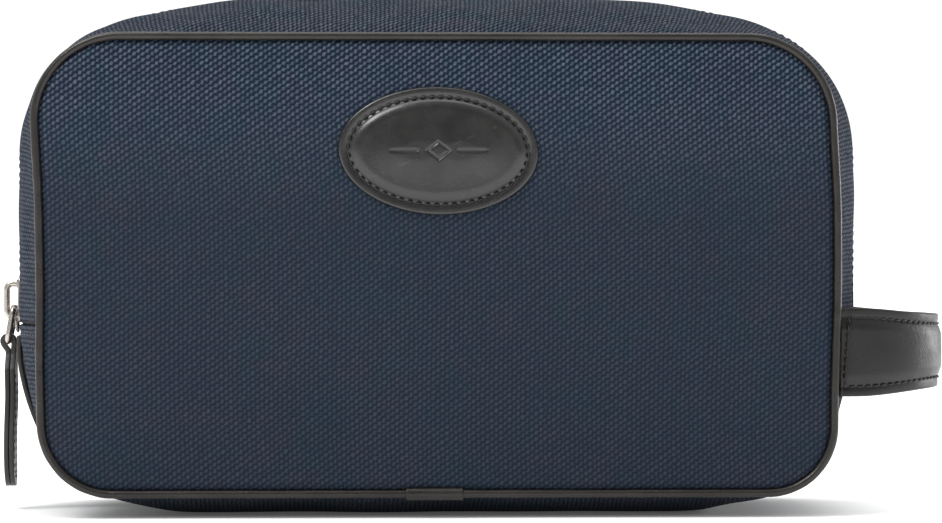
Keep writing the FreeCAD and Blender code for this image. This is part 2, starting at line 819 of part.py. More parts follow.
def patch_stitches():
    """A round of stitches a little inside the patch's edge."""
    inset = size("stitch_inset")
    wide = size("patch_half_width") - inset
    tall = size("patch_half_height") - inset
    ring = Part.Ellipse(Vector(0, 0, 0), wide, tall).toShape()
    count = round(ring.Length / size("stitch_pitch"))
    face = -(size("panel_face") + size("patch_gap") + size("patch_leather"))
    bars = []
    for index in range(count):
        parameter = ring.getParameterByLength(ring.Length * index / count)
        point = ring.valueAt(parameter)
        along = ring.tangentAt(parameter)
        place = Vector(size("patch_centre") + point.x, face, size("patch_height") + point.y)
        bars.append(thread(place, Vector(along.x, 0, along.y), Vector(0, -1, 0)))
    return bars


def pull_stitches():
    """Rows of stitches down both edges of the pull, on its two faces."""
    bars = []
    inset = size("pull_half_width") - size("stitch_inset")
    low = size("pull_bottom") + size("pull_half_width")
    count = int((size("pull_shoulder") - low) / size("stitch_pitch"))
    for face, outwards in ((-size("pull_face"), -1), (size("pull_thickness") - size("pull_face"), 1)):
        for edge in (-inset, inset):
            for index in range(count):
                height = low + (index + 0.5) * size("stitch_pitch")
                place = Vector(face, edge, height)
                bars.append(thread(place, Vector(0, 0, 1), Vector(outwards, 0, 0)))
    return bars


def handle_stitches():
    """Rows of stitches along both edges of the strap's outer face."""
    half = size("handle_half_depth")
    reach = size("handle_reach")
    bend = size("handle_bend")
    straight = reach - bend - size("handle_pivot") - size("stitch_inset")
    turn = bend * math.pi / 2
    side = 2 * (half - bend)
    length = 2 * straight + 2 * turn + side
    count = int(length / size("stitch_pitch"))
    bars = []
    for index in range(count):
        run = (index + 0.5) * length / count
        mirrored = run > length / 2
        run = length - run if mirrored else run
        if run < straight:
            place = Vector(reach - bend - straight + run, -half, 0)
            angle = 0.0
        elif run < straight + turn:
            angle = (run - straight) / bend
            place = Vector(reach - bend + bend * math.sin(angle), bend - half - bend * math.cos(angle), 0)
        else:
            angle = math.pi / 2
            place = Vector(reach, bend - half + run - straight - turn, 0)
        outwards = Vector(math.sin(angle), -math.cos(angle), 0)
        along = Vector(math.cos(angle), math.sin(angle), 0)
        if mirrored:
            place.y = -place.y
            outwards.y = -outwards.y
            along = Vector(-along.x, along.y, 0)
        narrowing = (place.x - reach + size("handle_taper_length")) / size("handle_taper_length")
        inset = size("stitch_inset") + size("handle_taper") * max(0.0, narrowing)
        for height in (size("handle_low") + inset, size("handle_high") - inset):
            bars.append(thread(Vector(place.x, place.y, height), along, outwards))
    return bars


stitching("patch_stitching", patch_stitches())
stitching("pull_stitching", pull_stitches())
stitching("handle_stitching", handle_stitches())


# ---- check and write ----

doc.recompute()
failed = [obj.Name for obj in doc.Objects if set(obj.State) & {"Invalid", "Error"}]
failed += [obj.Label for obj in NODES if obj.Shape.isNull() or not obj.Shape.isValid()]
failed += [obj.Label for obj in NODES if not obj.Shape.Solids]
if failed:
    raise RuntimeError("failed: " + ", ".join(failed))
os.makedirs("parts", exist_ok=True)
for obj in NODES:
    obj.Shape.exportStep(f"parts/{obj.Label}.step")
    room = obj.Shape.optimalBoundingBox(True, False)
    print(f"{obj.Label:28s} {obj.Shape.Volume:10.1f} mm3  {len(obj.Shape.Solids)} solid(s)  "
          f"x {room.XMin:.1f} {room.XMax:.1f}  y {room.YMin:.1f} {room.YMax:.1f}  "
          f"z {room.ZMin:.1f} {room.ZMax:.1f}")
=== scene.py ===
import json
import math

import bmesh
import bpy
import numpy as np
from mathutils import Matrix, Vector


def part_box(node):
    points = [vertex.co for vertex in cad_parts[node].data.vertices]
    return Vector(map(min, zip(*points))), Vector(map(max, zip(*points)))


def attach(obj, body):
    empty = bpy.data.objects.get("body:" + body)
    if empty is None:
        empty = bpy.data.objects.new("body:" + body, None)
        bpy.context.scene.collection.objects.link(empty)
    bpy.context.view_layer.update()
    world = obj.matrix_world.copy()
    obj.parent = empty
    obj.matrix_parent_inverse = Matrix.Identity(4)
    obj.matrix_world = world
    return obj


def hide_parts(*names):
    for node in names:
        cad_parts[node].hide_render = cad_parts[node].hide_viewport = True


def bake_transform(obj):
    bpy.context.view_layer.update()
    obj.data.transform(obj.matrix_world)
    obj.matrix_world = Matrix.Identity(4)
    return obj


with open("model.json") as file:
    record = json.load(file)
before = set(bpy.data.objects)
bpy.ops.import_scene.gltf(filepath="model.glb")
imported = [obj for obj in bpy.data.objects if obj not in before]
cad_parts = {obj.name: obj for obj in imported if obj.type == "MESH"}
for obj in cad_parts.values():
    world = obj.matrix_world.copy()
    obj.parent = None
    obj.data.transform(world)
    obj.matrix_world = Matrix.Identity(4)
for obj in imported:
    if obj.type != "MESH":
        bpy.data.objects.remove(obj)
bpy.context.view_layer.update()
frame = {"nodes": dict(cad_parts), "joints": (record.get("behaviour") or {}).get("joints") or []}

# Wash bag: a blue woven cloth body with black leather piping, a domed oval patch, a coil zip with a nickel
# slider and a folded leather pull at the left, and a padded leather handle at the right.
# Shapes are worked out in millimetres and written in metres.

MM = 0.001
TURN = 2 * math.pi

# ---- sizes, in millimetres ----

SEAM_DEPTH = 43.1
SEAM = {"half": 118.6, "low": 6.5, "high": 142.6, "round_low": 20.8, "round_high": 26.0}
MIDDLE = {"half": 126.9, "low": -3.0, "high": 156.1, "round_low": 66.6, "round_high": 50.0}
SIDE_SEAM = 56.6
CLOTH = 1.0
LINING = 0.6
STRIP_EDGE = 6.0
TAPE_EDGE = 14.0
HEM_STITCH = 2.4
STITCH_PITCH = 2.6
PIPING_OUT = 1.9
SEAM_TUCK = 1.4
PANEL_TUCK = 1.4
PATCH_RIM = 3.0
SIDES = (("rear", 1.0, "bag"), ("front", -1.0, "mouth"))


def box_mm(name):
    """The lowest and highest corner of a CAD node, in millimetres."""
    low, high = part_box(name)
    return np.array(low) / MM, np.array(high) / MM


PANEL_LOW, PANEL_HIGH = box_mm("rear_panel")
PANEL_HALF = PANEL_HIGH[0]
PANEL_FACE = PANEL_HIGH[1]
PANEL_ROUND_HIGH = 23.6
PANEL_ROUND_LOW = 18.4
ROUND_FROM = PANEL_LOW[2] + PANEL_ROUND_LOW
ROUND_TO = PANEL_HIGH[2] - PANEL_ROUND_HIGH
PIPING_BOX = box_mm("rear_piping")
PIPING_RADIUS = 0.85 * (PIPING_BOX[1][1] - PIPING_BOX[0][1]) / 2
PIPING_DEPTH = (PIPING_BOX[1][1] + PIPING_BOX[0][1]) / 2
JOINTS = {joint["name"]: joint for joint in frame["joints"]}


# ---- small tools ----

def smoothstep(start, end, value):
    t = np.clip((value - start) / (end - start), 0.0, 1.0)
    return t * t * (3 - 2 * t)


def bump(value, centre, width):
    """A smooth hump of height 1."""
    return np.exp(-((value - centre) / width) ** 2)


def rounded(value):
    """A quarter round: 0 at 0, 1 from 1 on."""
    return np.sqrt(np.clip(1 - (1 - np.clip(value, 0, 1)) ** 2, 0, 1))


def unit(vectors):
    return vectors / np.maximum(np.linalg.norm(vectors, axis=-1, keepdims=True), 1e-9)


def lengths_along(path):
    """The distance from a path's first point to each of its points."""
    return np.concatenate([[0.0], np.cumsum(np.linalg.norm(np.diff(path, axis=0), axis=1))])


def at_lengths(where, length, path):
    """The path's points at given distances along it."""
    return np.stack([np.interp(where, length, path[:, k]) for k in range(path.shape[1])], 1)


def ripple(u, v, wave, seed, count=7):
    """Smooth seeded unevenness of about -1 to 1, with the given wavelength in millimetres."""
    rng = np.random.default_rng(seed)
    total = np.zeros(np.broadcast(u, v).shape)
    for _ in range(count):
        angle = rng.uniform(0, math.pi)
        length = wave * rng.uniform(0.7, 1.5)
        turn = TURN / length
        total += np.sin(turn * (u * math.cos(angle) + v * math.sin(angle)) + rng.uniform(0, TURN))
    return total / math.sqrt(count)


def graded(start, end, step, fine=(0.0, 0.12, 0.3, 0.55, 0.9)):
    """Stations from start to end, closer together near both ends."""
    span = end - start
    count = max(2, int(round((span - 2 * fine[-1]) / step)))
    middle = np.linspace(fine[-1], span - fine[-1], count + 1)[1:-1]
    tail = [span - f for f in reversed(fine)]
    return start + np.array(list(fine) + list(middle) + tail)


def soft_box(sides, across, deep):
    """A rounded box's ring of places from -1 to 1; the smaller the powers, the sharper its corners."""
    ring = []
    for angle in np.linspace(0, TURN, sides, endpoint=False):
        c, s = math.cos(angle), math.sin(angle)
        ring.append((np.sign(c) * abs(c) ** across, np.sign(s) * abs(s) ** deep))
    return np.array(ring)


# Height and sideways lean of the front's edge: its top leans to the left, its foot a little to the right.
LEAN = np.array(((0, 0.6), (10, 0.6), (22, 0.1), (35, 0.1), (64, 0.5), (94, 0.0), (117, -1.3), (137, -1.5),
                 (165, -1.5)), float)
REAR_LEAN = 0.4
CORNER_SINK = 4.1
RIGHT_SWELL = 1.2


def settle(points):
    """How the soft bag has settled: its front leans a little to the left and its top corners have sunk."""
    points = np.array(points, float)
    x, y, z = points[..., 0], points[..., 1], points[..., 2]
    lean = np.zeros_like(z)
    for offset, weight in ((-6, 0.25), (0, 0.5), (6, 0.25)):
        lean += weight * np.interp(z + offset, LEAN[:, 0], LEAN[:, 1])
    share = np.clip(1 - (y / SEAM_DEPTH) ** 2, 0, 1)
    right = -smoothstep(0, 100, x) * (1 - smoothstep(28, 95, z))
    left = 0.8 * smoothstep(0, -100, x) * (1 - smoothstep(15, 55, z))
    edge_shift = lean * np.where(y < 0, 1.0, REAR_LEAN) + right + left
    swell = RIGHT_SWELL * share * smoothstep(0, 90, x)
    sink = CORNER_SINK * bump(np.abs(x), 89.0, 22.0) * share * smoothstep(97, 132, z)
    points[..., 0] = x + edge_shift * (1 - share) + swell
    points[..., 2] = z - sink
    return points


def floor_soft(points, thickness, soft=0.55):
    """Flattens what lies below the floor, with a soft turn."""
    z = points[..., 2] - thickness
    points[..., 2] = thickness + soft * np.logaddexp(0.0, z / soft)
    return points


# ---- the bag's surface ----

def outline(depth, inset, over_top):
    """Half of the bag's outline at one depth, cut at the side seam: points (x, z), from the cut inwards."""
    share = 1 - (depth / SEAM_DEPTH) ** 2
    at = {key: SEAM[key] + (MIDDLE[key] - SEAM[key]) * share for key in SEAM}
    half = at["half"] - inset
    low = at["low"] + inset
    high = at["high"] - inset
    small = at["round_low"] - inset
    large = at["round_high"] - inset
    angles = np.linspace(0, math.pi / 2, 60)
    lower = np.stack([half - small + small * np.sin(angles), low + small - small * np.cos(angles)], 1)
    upper = np.stack([half - large + large * np.cos(angles), high - large + large * np.sin(angles)], 1)
    side = np.concatenate([[[0.0, low]], lower, upper, [[0.0, high]]])
    at_cut = np.array([[np.interp(SIDE_SEAM, side[:, 1], side[:, 0]), SIDE_SEAM]])
    if over_top:
        return np.concatenate([at_cut, side[side[:, 1] > SIDE_SEAM]])
    return np.concatenate([at_cut, side[side[:, 1] < SIDE_SEAM][::-1]])


def whole_run(depth, inset, over_top):
    """The outline from the left side seam to the right one, over the top or under the base."""
    half = outline(depth, inset, over_top)
    return np.concatenate([half * np.array([-1.0, 1.0]), half[::-1][1:]])


def run_length(depth, inset, over_top):
    path = whole_run(depth, inset, over_top)
    return float(np.linalg.norm(np.diff(path, axis=0), axis=1).sum())


def run_points(depth, inset, over_top, stations):
    """Points at given shares (0 to 1) of the run at one depth."""
    path = whole_run(depth, inset, over_top)
    length = lengths_along(path)
    x, z = at_lengths(np.asarray(stations) * length[-1], length, path).T
    return np.stack([x, np.full_like(x, depth), z], 1)


def run_grid(depths, inset, over_top, stations):
    """A grid of points: rows along the run, columns across the bag's depth."""
    return np.stack([run_points(depth, inset, over_top, stations) for depth in depths], 1)


def grid_normals(grid):
    """Outward unit normals of a grid that goes round the bag."""
    normals = unit(np.cross(np.gradient(grid, axis=0), np.gradient(grid, axis=1)))
    outwards = grid - np.array([0.0, 0.0, 78.0])
    return -normals if np.sum(normals * outwards) < 0 else normals


# ---- meshes ----

def quads(rows, columns, close_rows=False, close_columns=False):
    """Quads between neighbouring points of a grid, whose points are numbered row by row."""
    i = np.arange(rows if close_rows else rows - 1)
    j = np.arange(columns if close_columns else columns - 1)
    i, j = np.meshgrid(i, j, indexing="ij")
    after_i = (i + 1) % rows
    after_j = (j + 1) % columns
    corners = [i * columns + j, after_i * columns + j, after_i * columns + after_j, i * columns + after_j]
    return [tuple(face) for face in np.stack(corners, -1).reshape(-1, 4)]


def ring_faces(rows, sides, closed=False, first=True, last=True):
    """The faces of a tube made of rings of points, with or without its two end caps."""
    faces = quads(rows, sides, close_rows=closed, close_columns=True)
    if first:
        faces.append(tuple(range(sides)))
    if last:
        faces.append(tuple(range((rows - 1) * sides, rows * sides)))
    return faces


def new_mesh(name, points, faces, uv=None, weld=False):
    """A smooth mesh object from millimetre points; uv holds one texture place per point, in millimetres."""
    mesh = bpy.data.meshes.new(name)
    metres = np.asarray(points, float).reshape(-1, 3) * MM
    mesh.from_pydata(metres.tolist(), [], [list(map(int, f)) for f in faces])
    if uv is not None:
        layer = mesh.uv_layers.new(name="weave")
        index = np.zeros(len(mesh.loops), np.int32)
        mesh.loops.foreach_get("vertex_index", index)
        places = np.asarray(uv, float).reshape(-1, 2)[index] * MM
        layer.data.foreach_set("uv", places.ravel().astype(np.float32))
    work = bmesh.new()
    work.from_mesh(mesh)
    if weld:
        bmesh.ops.remove_doubles(work, verts=work.verts, dist=1e-6)
        bmesh.ops.dissolve_degenerate(work, edges=work.edges, dist=1e-7)
    bmesh.ops.recalc_face_normals(work, faces=work.faces)
    work.to_mesh(mesh)
    work.free()
    mesh.polygons.foreach_set("use_smooth", np.ones(len(mesh.polygons), bool))
    mesh.update()
    piece = bpy.data.objects.new(name, mesh)
    bpy.context.scene.collection.objects.link(piece)
    return piece


def two_sided(name, upper, lower, faces, uv=None, rim=()):
    """A thin closed solid between two sheets of points; rim joins them where they are open."""
    count = upper.size // 3
    under = [tuple(i + count for i in face[::-1]) for face in faces]
    points = np.concatenate([upper.reshape(-1, 3), lower.reshape(-1, 3)])
    if uv is not None:
        uv = np.concatenate([uv.reshape(-1, 2)] * 2)
    return new_mesh(name, points, list(faces) + under + list(rim), uv, weld=True)


def slab(name, middle, normals, half, uv):
    """A thin closed solid round a grid of points; half is half of its thickness at each of them."""
    offset = normals * half[..., None]
    return two_sided(name, middle + offset, middle - offset, quads(*middle.shape[:2]), uv)


def rounded_half(rows, columns, half):
    """Half thickness that rounds off to nothing at a grid's four edges; rows and columns are distances."""
    edge = np.minimum(
        np.minimum(rows - rows[0], rows[-1] - rows)[:, None],
        np.minimum(columns - columns[0], columns[-1] - columns)[None, :],
    )
    return half * rounded(edge / half)


def tube(points, radius, sides=12, closed=False):
    """Points, faces and texture places of a round tube; radius is one number or one per point."""
    points = np.asarray(points, float)
    count = len(points)
    radius = np.broadcast_to(np.asarray(radius, float), (count,))
    if closed:
        tangents = unit(np.roll(points, -1, 0) - np.roll(points, 1, 0))
    else:
        tangents = unit(np.gradient(points, axis=0))
    normal = np.cross(tangents[0], [0.31, 0.87, 0.38])
    frames = []
    for tangent in tangents:
        normal = normal - tangent * np.dot(normal, tangent)
        normal = normal / np.linalg.norm(normal)
        frames.append(normal)
    frames = np.array(frames)
    sideways = np.cross(tangents, frames)
    angles = np.linspace(0, TURN, sides, endpoint=False)
    ring = (frames[:, None] * np.cos(angles)[None, :, None]
            + sideways[:, None] * np.sin(angles)[None, :, None])
    verts = points[:, None] + ring * radius[:, None, None]
    faces = ring_faces(count, sides, closed, not closed, not closed)
    uv = np.stack(np.broadcast_arrays(lengths_along(points)[:, None], angles[None, :] * radius[:, None]), -1)
    return verts.reshape(-1, 3), faces, uv.reshape(-1, 2)


def smooth_path(points, count):
    """A Catmull-Rom curve through points, at even steps."""
    points = np.asarray(points, float)
    padded = np.concatenate([[2 * points[0] - points[1]], points, [2 * points[-1] - points[-2]]])
    fine = []
    for k in range(1, len(padded) - 2):
        a, b, c, d = padded[k - 1:k + 3]
        for t in np.linspace(0, 1, 24, endpoint=False):
            fine.append(0.5 * (2 * b + (c - a) * t + (2 * a - 5 * b + 4 * c - d) * t * t
                               + (3 * b - a - 3 * c + d) * t ** 3))
    fine.append(points[-1])
    fine = np.array(fine)
    length = lengths_along(fine)
    return at_lengths(np.linspace(0, length[-1], count), length, fine)


def dress(piece, material, body=None, replaces=()):
    """Gives a piece its material and hides the CAD nodes that it stands for; it joins the piece to its body,
    but a piece of the mouth or the strap only has its place baked into its points.
    """
    piece.data.materials.clear()
    piece.data.materials.append(material)
    if body == "mouth":
        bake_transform(piece)
    elif body == "strap":
        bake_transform(piece)
    else:
        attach(piece, body)
    if replaces:
        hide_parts(*replaces)
    return piece


def stitches(name, places, material, body, replaces=(), length=1.9, radius=0.24, lift=0.16, slant=7.0):
    """Short threads that dive in at both ends; each place is a centre, a direction and a normal."""
    rows, sides = 7, 6
    t = np.linspace(-1, 1, rows)
    spine = np.stack([t * length / 2, np.zeros(rows), lift - (lift + radius * 0.9) * np.abs(t) ** 3], 1)
    spine[:, 1] = spine[:, 0] * math.sin(math.radians(slant))
    verts, faces, _ = tube(spine, radius * np.sqrt(np.clip(1.02 - t ** 6, 0.05, 1)), sides)
    centres, alongs, outwards = np.moveaxis(np.array(places, float), 1, 0)
    all_points, all_faces = [], []
    for centre, along, out in zip(centres, unit(alongs), unit(outwards)):
        side = np.cross(out, along)
        base = len(all_points) * len(verts)
        all_points.append(centre + verts[:, :1] * along + verts[:, 1:2] * side + verts[:, 2:] * out)
        all_faces.extend(tuple(index + base for index in f) for f in faces)
    row = new_mesh(name, np.concatenate(all_points), all_faces)
    return dress(row, material, body, replaces)


# ---- materials ----

class Finish:
    """A material with a Principled shader, and short names for the nodes that feed it."""

    def __init__(self, name, roughness=0.5, metallic=0.0, specular=0.5):
        self.material = bpy.data.materials.new(name)
        self.material.use_nodes = True
        self.tree = self.material.node_tree
        self.shader = self.tree.nodes["Principled BSDF"]
        self.shader.inputs["Roughness"].default_value = roughness
        self.shader.inputs["Metallic"].default_value = metallic
        self.shader.inputs["Specular IOR Level"].default_value = specular
        self.place = self.tree.nodes.new("ShaderNodeTexCoord").outputs["Object"]

    def add(self, kind, values, **settings):
        """A new node; values are its inputs by name or number, as sockets or plain values."""
        node = self.tree.nodes.new(kind)
        for key, value in settings.items():
            setattr(node, key, value)
        for key, value in values.items():
            if isinstance(value, bpy.types.NodeSocket):
                self.tree.links.new(value, node.inputs[key])
            else:
                node.inputs[key].default_value = value
        return node

    def math(self, operation, a, b=0.0):
        return self.add("ShaderNodeMath", {0: a, 1: b}, operation=operation).outputs[0]

    def plus(self, a, b):
        return self.math("ADD", a, b)

    def times(self, a, b):
        return self.math("MULTIPLY", a, b)

    def mix(self, factor, a, b):
        return self.add("ShaderNodeMix", {0: factor, 6: a, 7: b}, data_type="RGBA").outputs[2]

    def between(self, value, low, high, to_low=0.0, to_high=1.0):
        """A smooth change from to_low to to_high as value goes from low to high."""
        values = {0: value, 1: low, 2: high, 3: to_low, 4: to_high}
        return self.add("ShaderNodeMapRange", values, interpolation_type="SMOOTHSTEP").outputs[0]

    def noise(self, scale, detail=3.0, vector=None):
        values = {"Scale": scale, "Detail": detail, "Roughness": 0.55, "Vector": vector or self.place}
        return self.add("ShaderNodeTexNoise", values).outputs[0]

    def cells(self, scale, feature="F1"):
        values = {"Scale": scale, "Vector": self.place}
        return self.add("ShaderNodeTexVoronoi", values, feature=feature).outputs["Distance"]

    def weave_axes(self, pitch_u, pitch_v):
        """Thread counts across and along the cloth, from its own texture layer, which is in metres."""
        layer = self.add("ShaderNodeUVMap", {}, uv_map="weave").outputs[0]
        split = self.add("ShaderNodeSeparateXYZ", {0: layer}).outputs
        return self.math("DIVIDE", split[0], pitch_u * MM), self.math("DIVIDE", split[1], pitch_v * MM)

    def wave(self, value, turns=1.0):
        """The sine of a number of half turns."""
        return self.math("SINE", self.times(value, math.pi * turns))

    def ridge(self, value, turns=1.0):
        return self.math("ABSOLUTE", self.wave(value, turns))

    def colour(self, socket):
        self.tree.links.new(socket, self.shader.inputs["Base Color"])

    def rough(self, scale, low, high, detail=3.0):
        """Roughness that wanders between two values."""
        wander = self.between(self.noise(scale, detail), 0.3, 0.7, low, high)
        self.tree.links.new(wander, self.shader.inputs["Roughness"])

    def relief(self, height, depth, strength=1.0):
        """Bump of a height of 0 to 1, with the given depth in millimetres."""
        values = {"Height": height, "Distance": depth * MM, "Strength": strength}
        self.tree.links.new(self.add("ShaderNodeBump", values).outputs[0], self.shader.inputs["Normal"])


COLUMN_PITCH = 1.33
FLOAT_PITCH = 0.93
BLACK = (0.0, 0.0, 0.0, 1.0)


def woven(name, recess_shade_colour, thread, tints, depth=0.26, ridge=0.0, top_light_from=0.085, top_light_to=0.14):
    """Coarse plain weave: columns of plump upright floats, every other column half a float lower.

    ridge is how much of a column stays painted lit between its floats, rather than painted in shade. Between
    the heights top_light_from and top_light_to, in metres, the weave goes from painted shade, darker and
    softer, to painted top light, lighter and crisper.
    """
    look = Finish(name, roughness=0.7, specular=0.04)
    u, v = look.weave_axes(COLUMN_PITCH, FLOAT_PITCH)
    u = look.plus(u, look.times(look.math("SUBTRACT", look.noise(430.0, 2.0), 0.5), 0.8))
    v = look.plus(v, look.times(look.math("SUBTRACT", look.noise(370.0, 2.0), 0.5), 0.9))
    column = look.math("FLOOR", u)
    v = look.plus(v, column)
    leaning = look.math("SUBTRACT", u, look.times(look.wave(v), 0.14))
    long_way = look.between(look.wave(look.plus(v, 0.5)), -0.95, 0.7)
    short_way = look.between(look.ridge(leaning), 0.15, 0.8)
    # Painted shade: raised is where the yarn shows painted lit. The hollows between the columns and between
    # the floats are painted dark, as shade between raised yarns.
    raised = look.times(look.plus(look.times(long_way, 1 - ridge), ridge), short_way)
    rough_yarn = look.noise(1500.0)
    height = look.plus(raised, look.times(look.ridge(u, 5.0), 0.07))
    height = look.plus(height, look.times(rough_yarn, 0.2))
    turn = look.math("FLOOR", look.times(look.math("SUBTRACT", v, 1.0), 0.5))
    cell = look.add("ShaderNodeCombineXYZ", {0: column, 1: turn}).outputs[0]
    chance = look.add("ShaderNodeTexWhiteNoise", {"Vector": cell}).outputs[0]
    lit = look.times(raised, look.between(chance, 0.0, 1.0, 0.72, 1.12))
    lit = look.times(lit, look.between(rough_yarn, 0.3, 0.7, 0.78, 1.15))
    cool = look.mix(look.between(look.noise(75.0), 0.46, 0.62), thread, tints[0])
    warm = look.mix(look.between(look.noise(95.0), 0.5, 0.66), cool, tints[1])
    patchy = look.between(look.noise(22.0), 0.35, 0.7, 1.0, 0.86)
    up = look.add("ShaderNodeSeparateXYZ", {0: look.place}).outputs[2]
    # Painted top light: between top_light_from and top_light_to the weave turns from painted shade, its yarn
    # mixed half with black and softer, to lighter and crisper, as if lit from above.
    painted_top_light = look.between(up, top_light_from, top_light_to)
    yarn = look.mix(painted_top_light, look.mix(0.53, warm, BLACK), warm)
    lit = look.math("POWER", lit, look.between(up, top_light_from, top_light_to, 0.55, 1.0))
    # Painted shade in the hollows: recess_shade_colour, lifted a little towards the yarn where the top light
    # is painted.
    painted_recess_shade = look.mix(painted_top_light, look.mix(0.15, recess_shade_colour, yarn), recess_shade_colour)
    look.colour(look.mix(look.times(lit, patchy), painted_recess_shade, yarn))
    look.relief(height, depth)
    return look.material


def leather(name, tone, roughness, grain, specular=0.45, tint=(1.0, 0.98, 0.95)):
    """Smooth calf: fine pores, faint creases, slightly worn where it stands proud."""
    look = Finish(name, roughness=roughness, specular=specular)
    pores = look.cells(1900.0)
    folds = look.between(look.cells(650.0, "DISTANCE_TO_EDGE"), 0.0, 0.12)
    dark = (*(0.8 * tone * share for share in tint), 1)
    light = (*(1.5 * tone * share for share in tint), 1)
    base = look.mix(look.between(look.noise(55.0, 4.0), 0.3, 0.7), dark, light)
    worn = look.add("ShaderNodeNewGeometry", {}).outputs["Pointiness"]
    look.colour(look.mix(look.between(worn, 0.53, 0.62, 0.0, 0.35), base, (0.05, 0.047, 0.044, 1)))
    look.rough(140.0, roughness - 0.05, roughness + 0.08)
    height = look.plus(look.times(pores, 0.35), look.times(folds, 0.45))
    look.relief(look.plus(height, look.times(look.noise(900.0, 4.0), 0.5)), 0.05 * grain, 0.55)
    return look.material


def lining(name):
    """Fine black twill."""
    look = Finish(name, roughness=0.75, specular=0.3)
    u, v = look.weave_axes(0.42, 0.42)
    ridge = look.ridge(look.plus(u, v))
    base = look.mix(look.between(ridge, 0.1, 0.8), (0.008, 0.008, 0.009, 1), (0.022, 0.022, 0.025, 1))
    look.colour(look.mix(look.between(look.noise(40.0), 0.4, 0.7, 0.0, 0.3), base, (0.03, 0.03, 0.033, 1)))
    look.relief(look.plus(ridge, look.times(look.ridge(u, 2.0), 0.3)), 0.08)
    return look.material


def foam(name):
    """Pale open foam."""
    look = Finish(name, roughness=0.95, specular=0.1)
    cell = look.cells(900.0)
    look.colour(look.mix(look.between(cell, 0.1, 0.6), (0.28, 0.28, 0.27, 1), (0.55, 0.54, 0.51, 1)))
    look.relief(cell, 0.3)
    return look.material


def nickel(name):
    """Polished nickel with fine scratches and a faint haze."""
    look = Finish(name, roughness=0.2, metallic=1.0)
    haze = look.between(look.noise(300.0, 4.0), 0.35, 0.7)
    look.colour(look.mix(haze, (0.47, 0.435, 0.395, 1), (0.37, 0.34, 0.305, 1)))
    look.rough(1400.0, 0.2, 0.34)
    stretched = look.add("ShaderNodeMapping", {"Vector": look.place, "Scale": (1.0, 1.0, 0.08)}).outputs[0]
    look.relief(look.noise(2600.0, 2.0, stretched), 0.01, 0.3)
    return look.material


def nylon(name):
    """The zip's moulded filament: black, slightly glossy."""
    look = Finish(name, roughness=0.35)
    look.colour(look.mix(look.noise(700.0), (0.006, 0.007, 0.01, 1), (0.022, 0.024, 0.032, 1)))
    look.rough(500.0, 0.28, 0.45)
    look.relief(look.noise(2200.0, 2.0), 0.02, 0.4)
    return look.material


def tape(name):
    """Herringbone zip tape."""
    look = Finish(name, roughness=0.7, specular=0.3)
    u, v = look.weave_axes(0.5, 0.35)
    ridge = look.ridge(look.plus(v, look.times(look.ridge(u, 0.25), 4.0)))
    look.colour(look.mix(look.between(ridge, 0.1, 0.9), (0.006, 0.007, 0.01, 1), (0.02, 0.022, 0.03, 1)))
    look.relief(ridge, 0.08)
    return look.material


def thread(name, dark, light):
    """Waxed twisted thread."""
    look = Finish(name, roughness=0.5, specular=0.45)
    tilted = look.add("ShaderNodeMapping", {"Vector": look.place, "Rotation": (0.6, 0.7, 0.5)}).outputs[0]
    twist = look.add("ShaderNodeTexWave", {"Scale": 900.0, "Distortion": 1.5, "Vector": tilted}).outputs[1]
    look.colour(look.mix(twist, dark, light))
    look.relief(twist, 0.05, 0.6)
    return look.material


def plastic_core(name):
    """The piping's plain cord."""
    look = Finish(name)
    look.colour(look.mix(look.noise(200.0), (0.5, 0.5, 0.47, 1), (0.62, 0.62, 0.58, 1)))
    return look.material


# Each weave's first colour is the painted shade in its hollows. The strips' weave is painted lit from 0 to 3
# cm up.
NAVY = woven("navy_weave", (0.008, 0.015, 0.03, 1), (0.086, 0.103, 0.136, 1),
             ((0.073, 0.103, 0.132, 1), (0.094, 0.103, 0.134, 1)))
NAVY_STRIP = woven("navy_weave_strip", (0.004, 0.008, 0.017, 1), (0.079, 0.091, 0.118, 1),
                   ((0.065, 0.089, 0.114, 1), (0.089, 0.093, 0.118, 1)), 0.45, 0.38, 0.0, 0.03)
BLACK_LEATHER = leather("calf", 0.008, 0.38, 1.5, 0.38)
PULL_LEATHER = leather("pull_calf", 0.024, 0.42, 1.2, 0.4, (1.0, 0.94, 0.88))
PIPING_LEATHER = leather("piping_calf", 0.014, 0.29, 1.3, 0.38, (1.0, 0.86, 0.72))
PATCH_LEATHER = leather("patch_calf", 0.010, 0.25, 0.5, 0.6)
LINING_CLOTH = lining("lining_twill")
FOAM = foam("pad_foam")
NICKEL = nickel("nickel_plate")
COIL = nylon("zip_nylon")
TAPE = tape("zip_tape_cloth")
BLACK_THREAD = thread("thread_black", (0.004, 0.004, 0.004, 1), (0.02, 0.02, 0.02, 1))
NAVY_THREAD = thread("thread_navy", (0.008, 0.011, 0.018, 1), (0.03, 0.04, 0.06, 1))
CORE = plastic_core("cord_core")


# ---- gusset cloth ----

def run_layer(name, depths, inset, thickness, at_depth, over_top, step, relief=None):
    """One layer of cloth along the run, over the top or under the base; returns the piece and its length."""
    length = run_length(at_depth, inset, over_top)
    distance = graded(0.0, length, step)
    grid = run_grid(depths, inset, over_top, distance / length)
    if relief is not None:
        grid = grid + grid_normals(grid) * relief(distance[:, None], depths[None, :], length)[..., None]
    grid = settle(grid)
    if not over_top:
        grid = floor_soft(grid, inset)
    half = rounded_half(distance, depths, thickness / 2)
    uv = np.stack(np.broadcast_arrays(distance[:, None], depths[None, :]), -1)
    return slab(name, grid, grid_normals(grid), half, uv), length


def arched_layer(name, near, far, inset, thickness, relief=None):
    """A layer over the top, between two depths of the same sign; returns the piece and its flat size."""
    depths = graded(min(near, far), max(near, far), 1.9)
    piece, length = run_layer(name, depths, inset, thickness, (near + far) / 2, True, 1.5, relief)
    return piece, (float(abs(far - near)) * MM, length * MM)


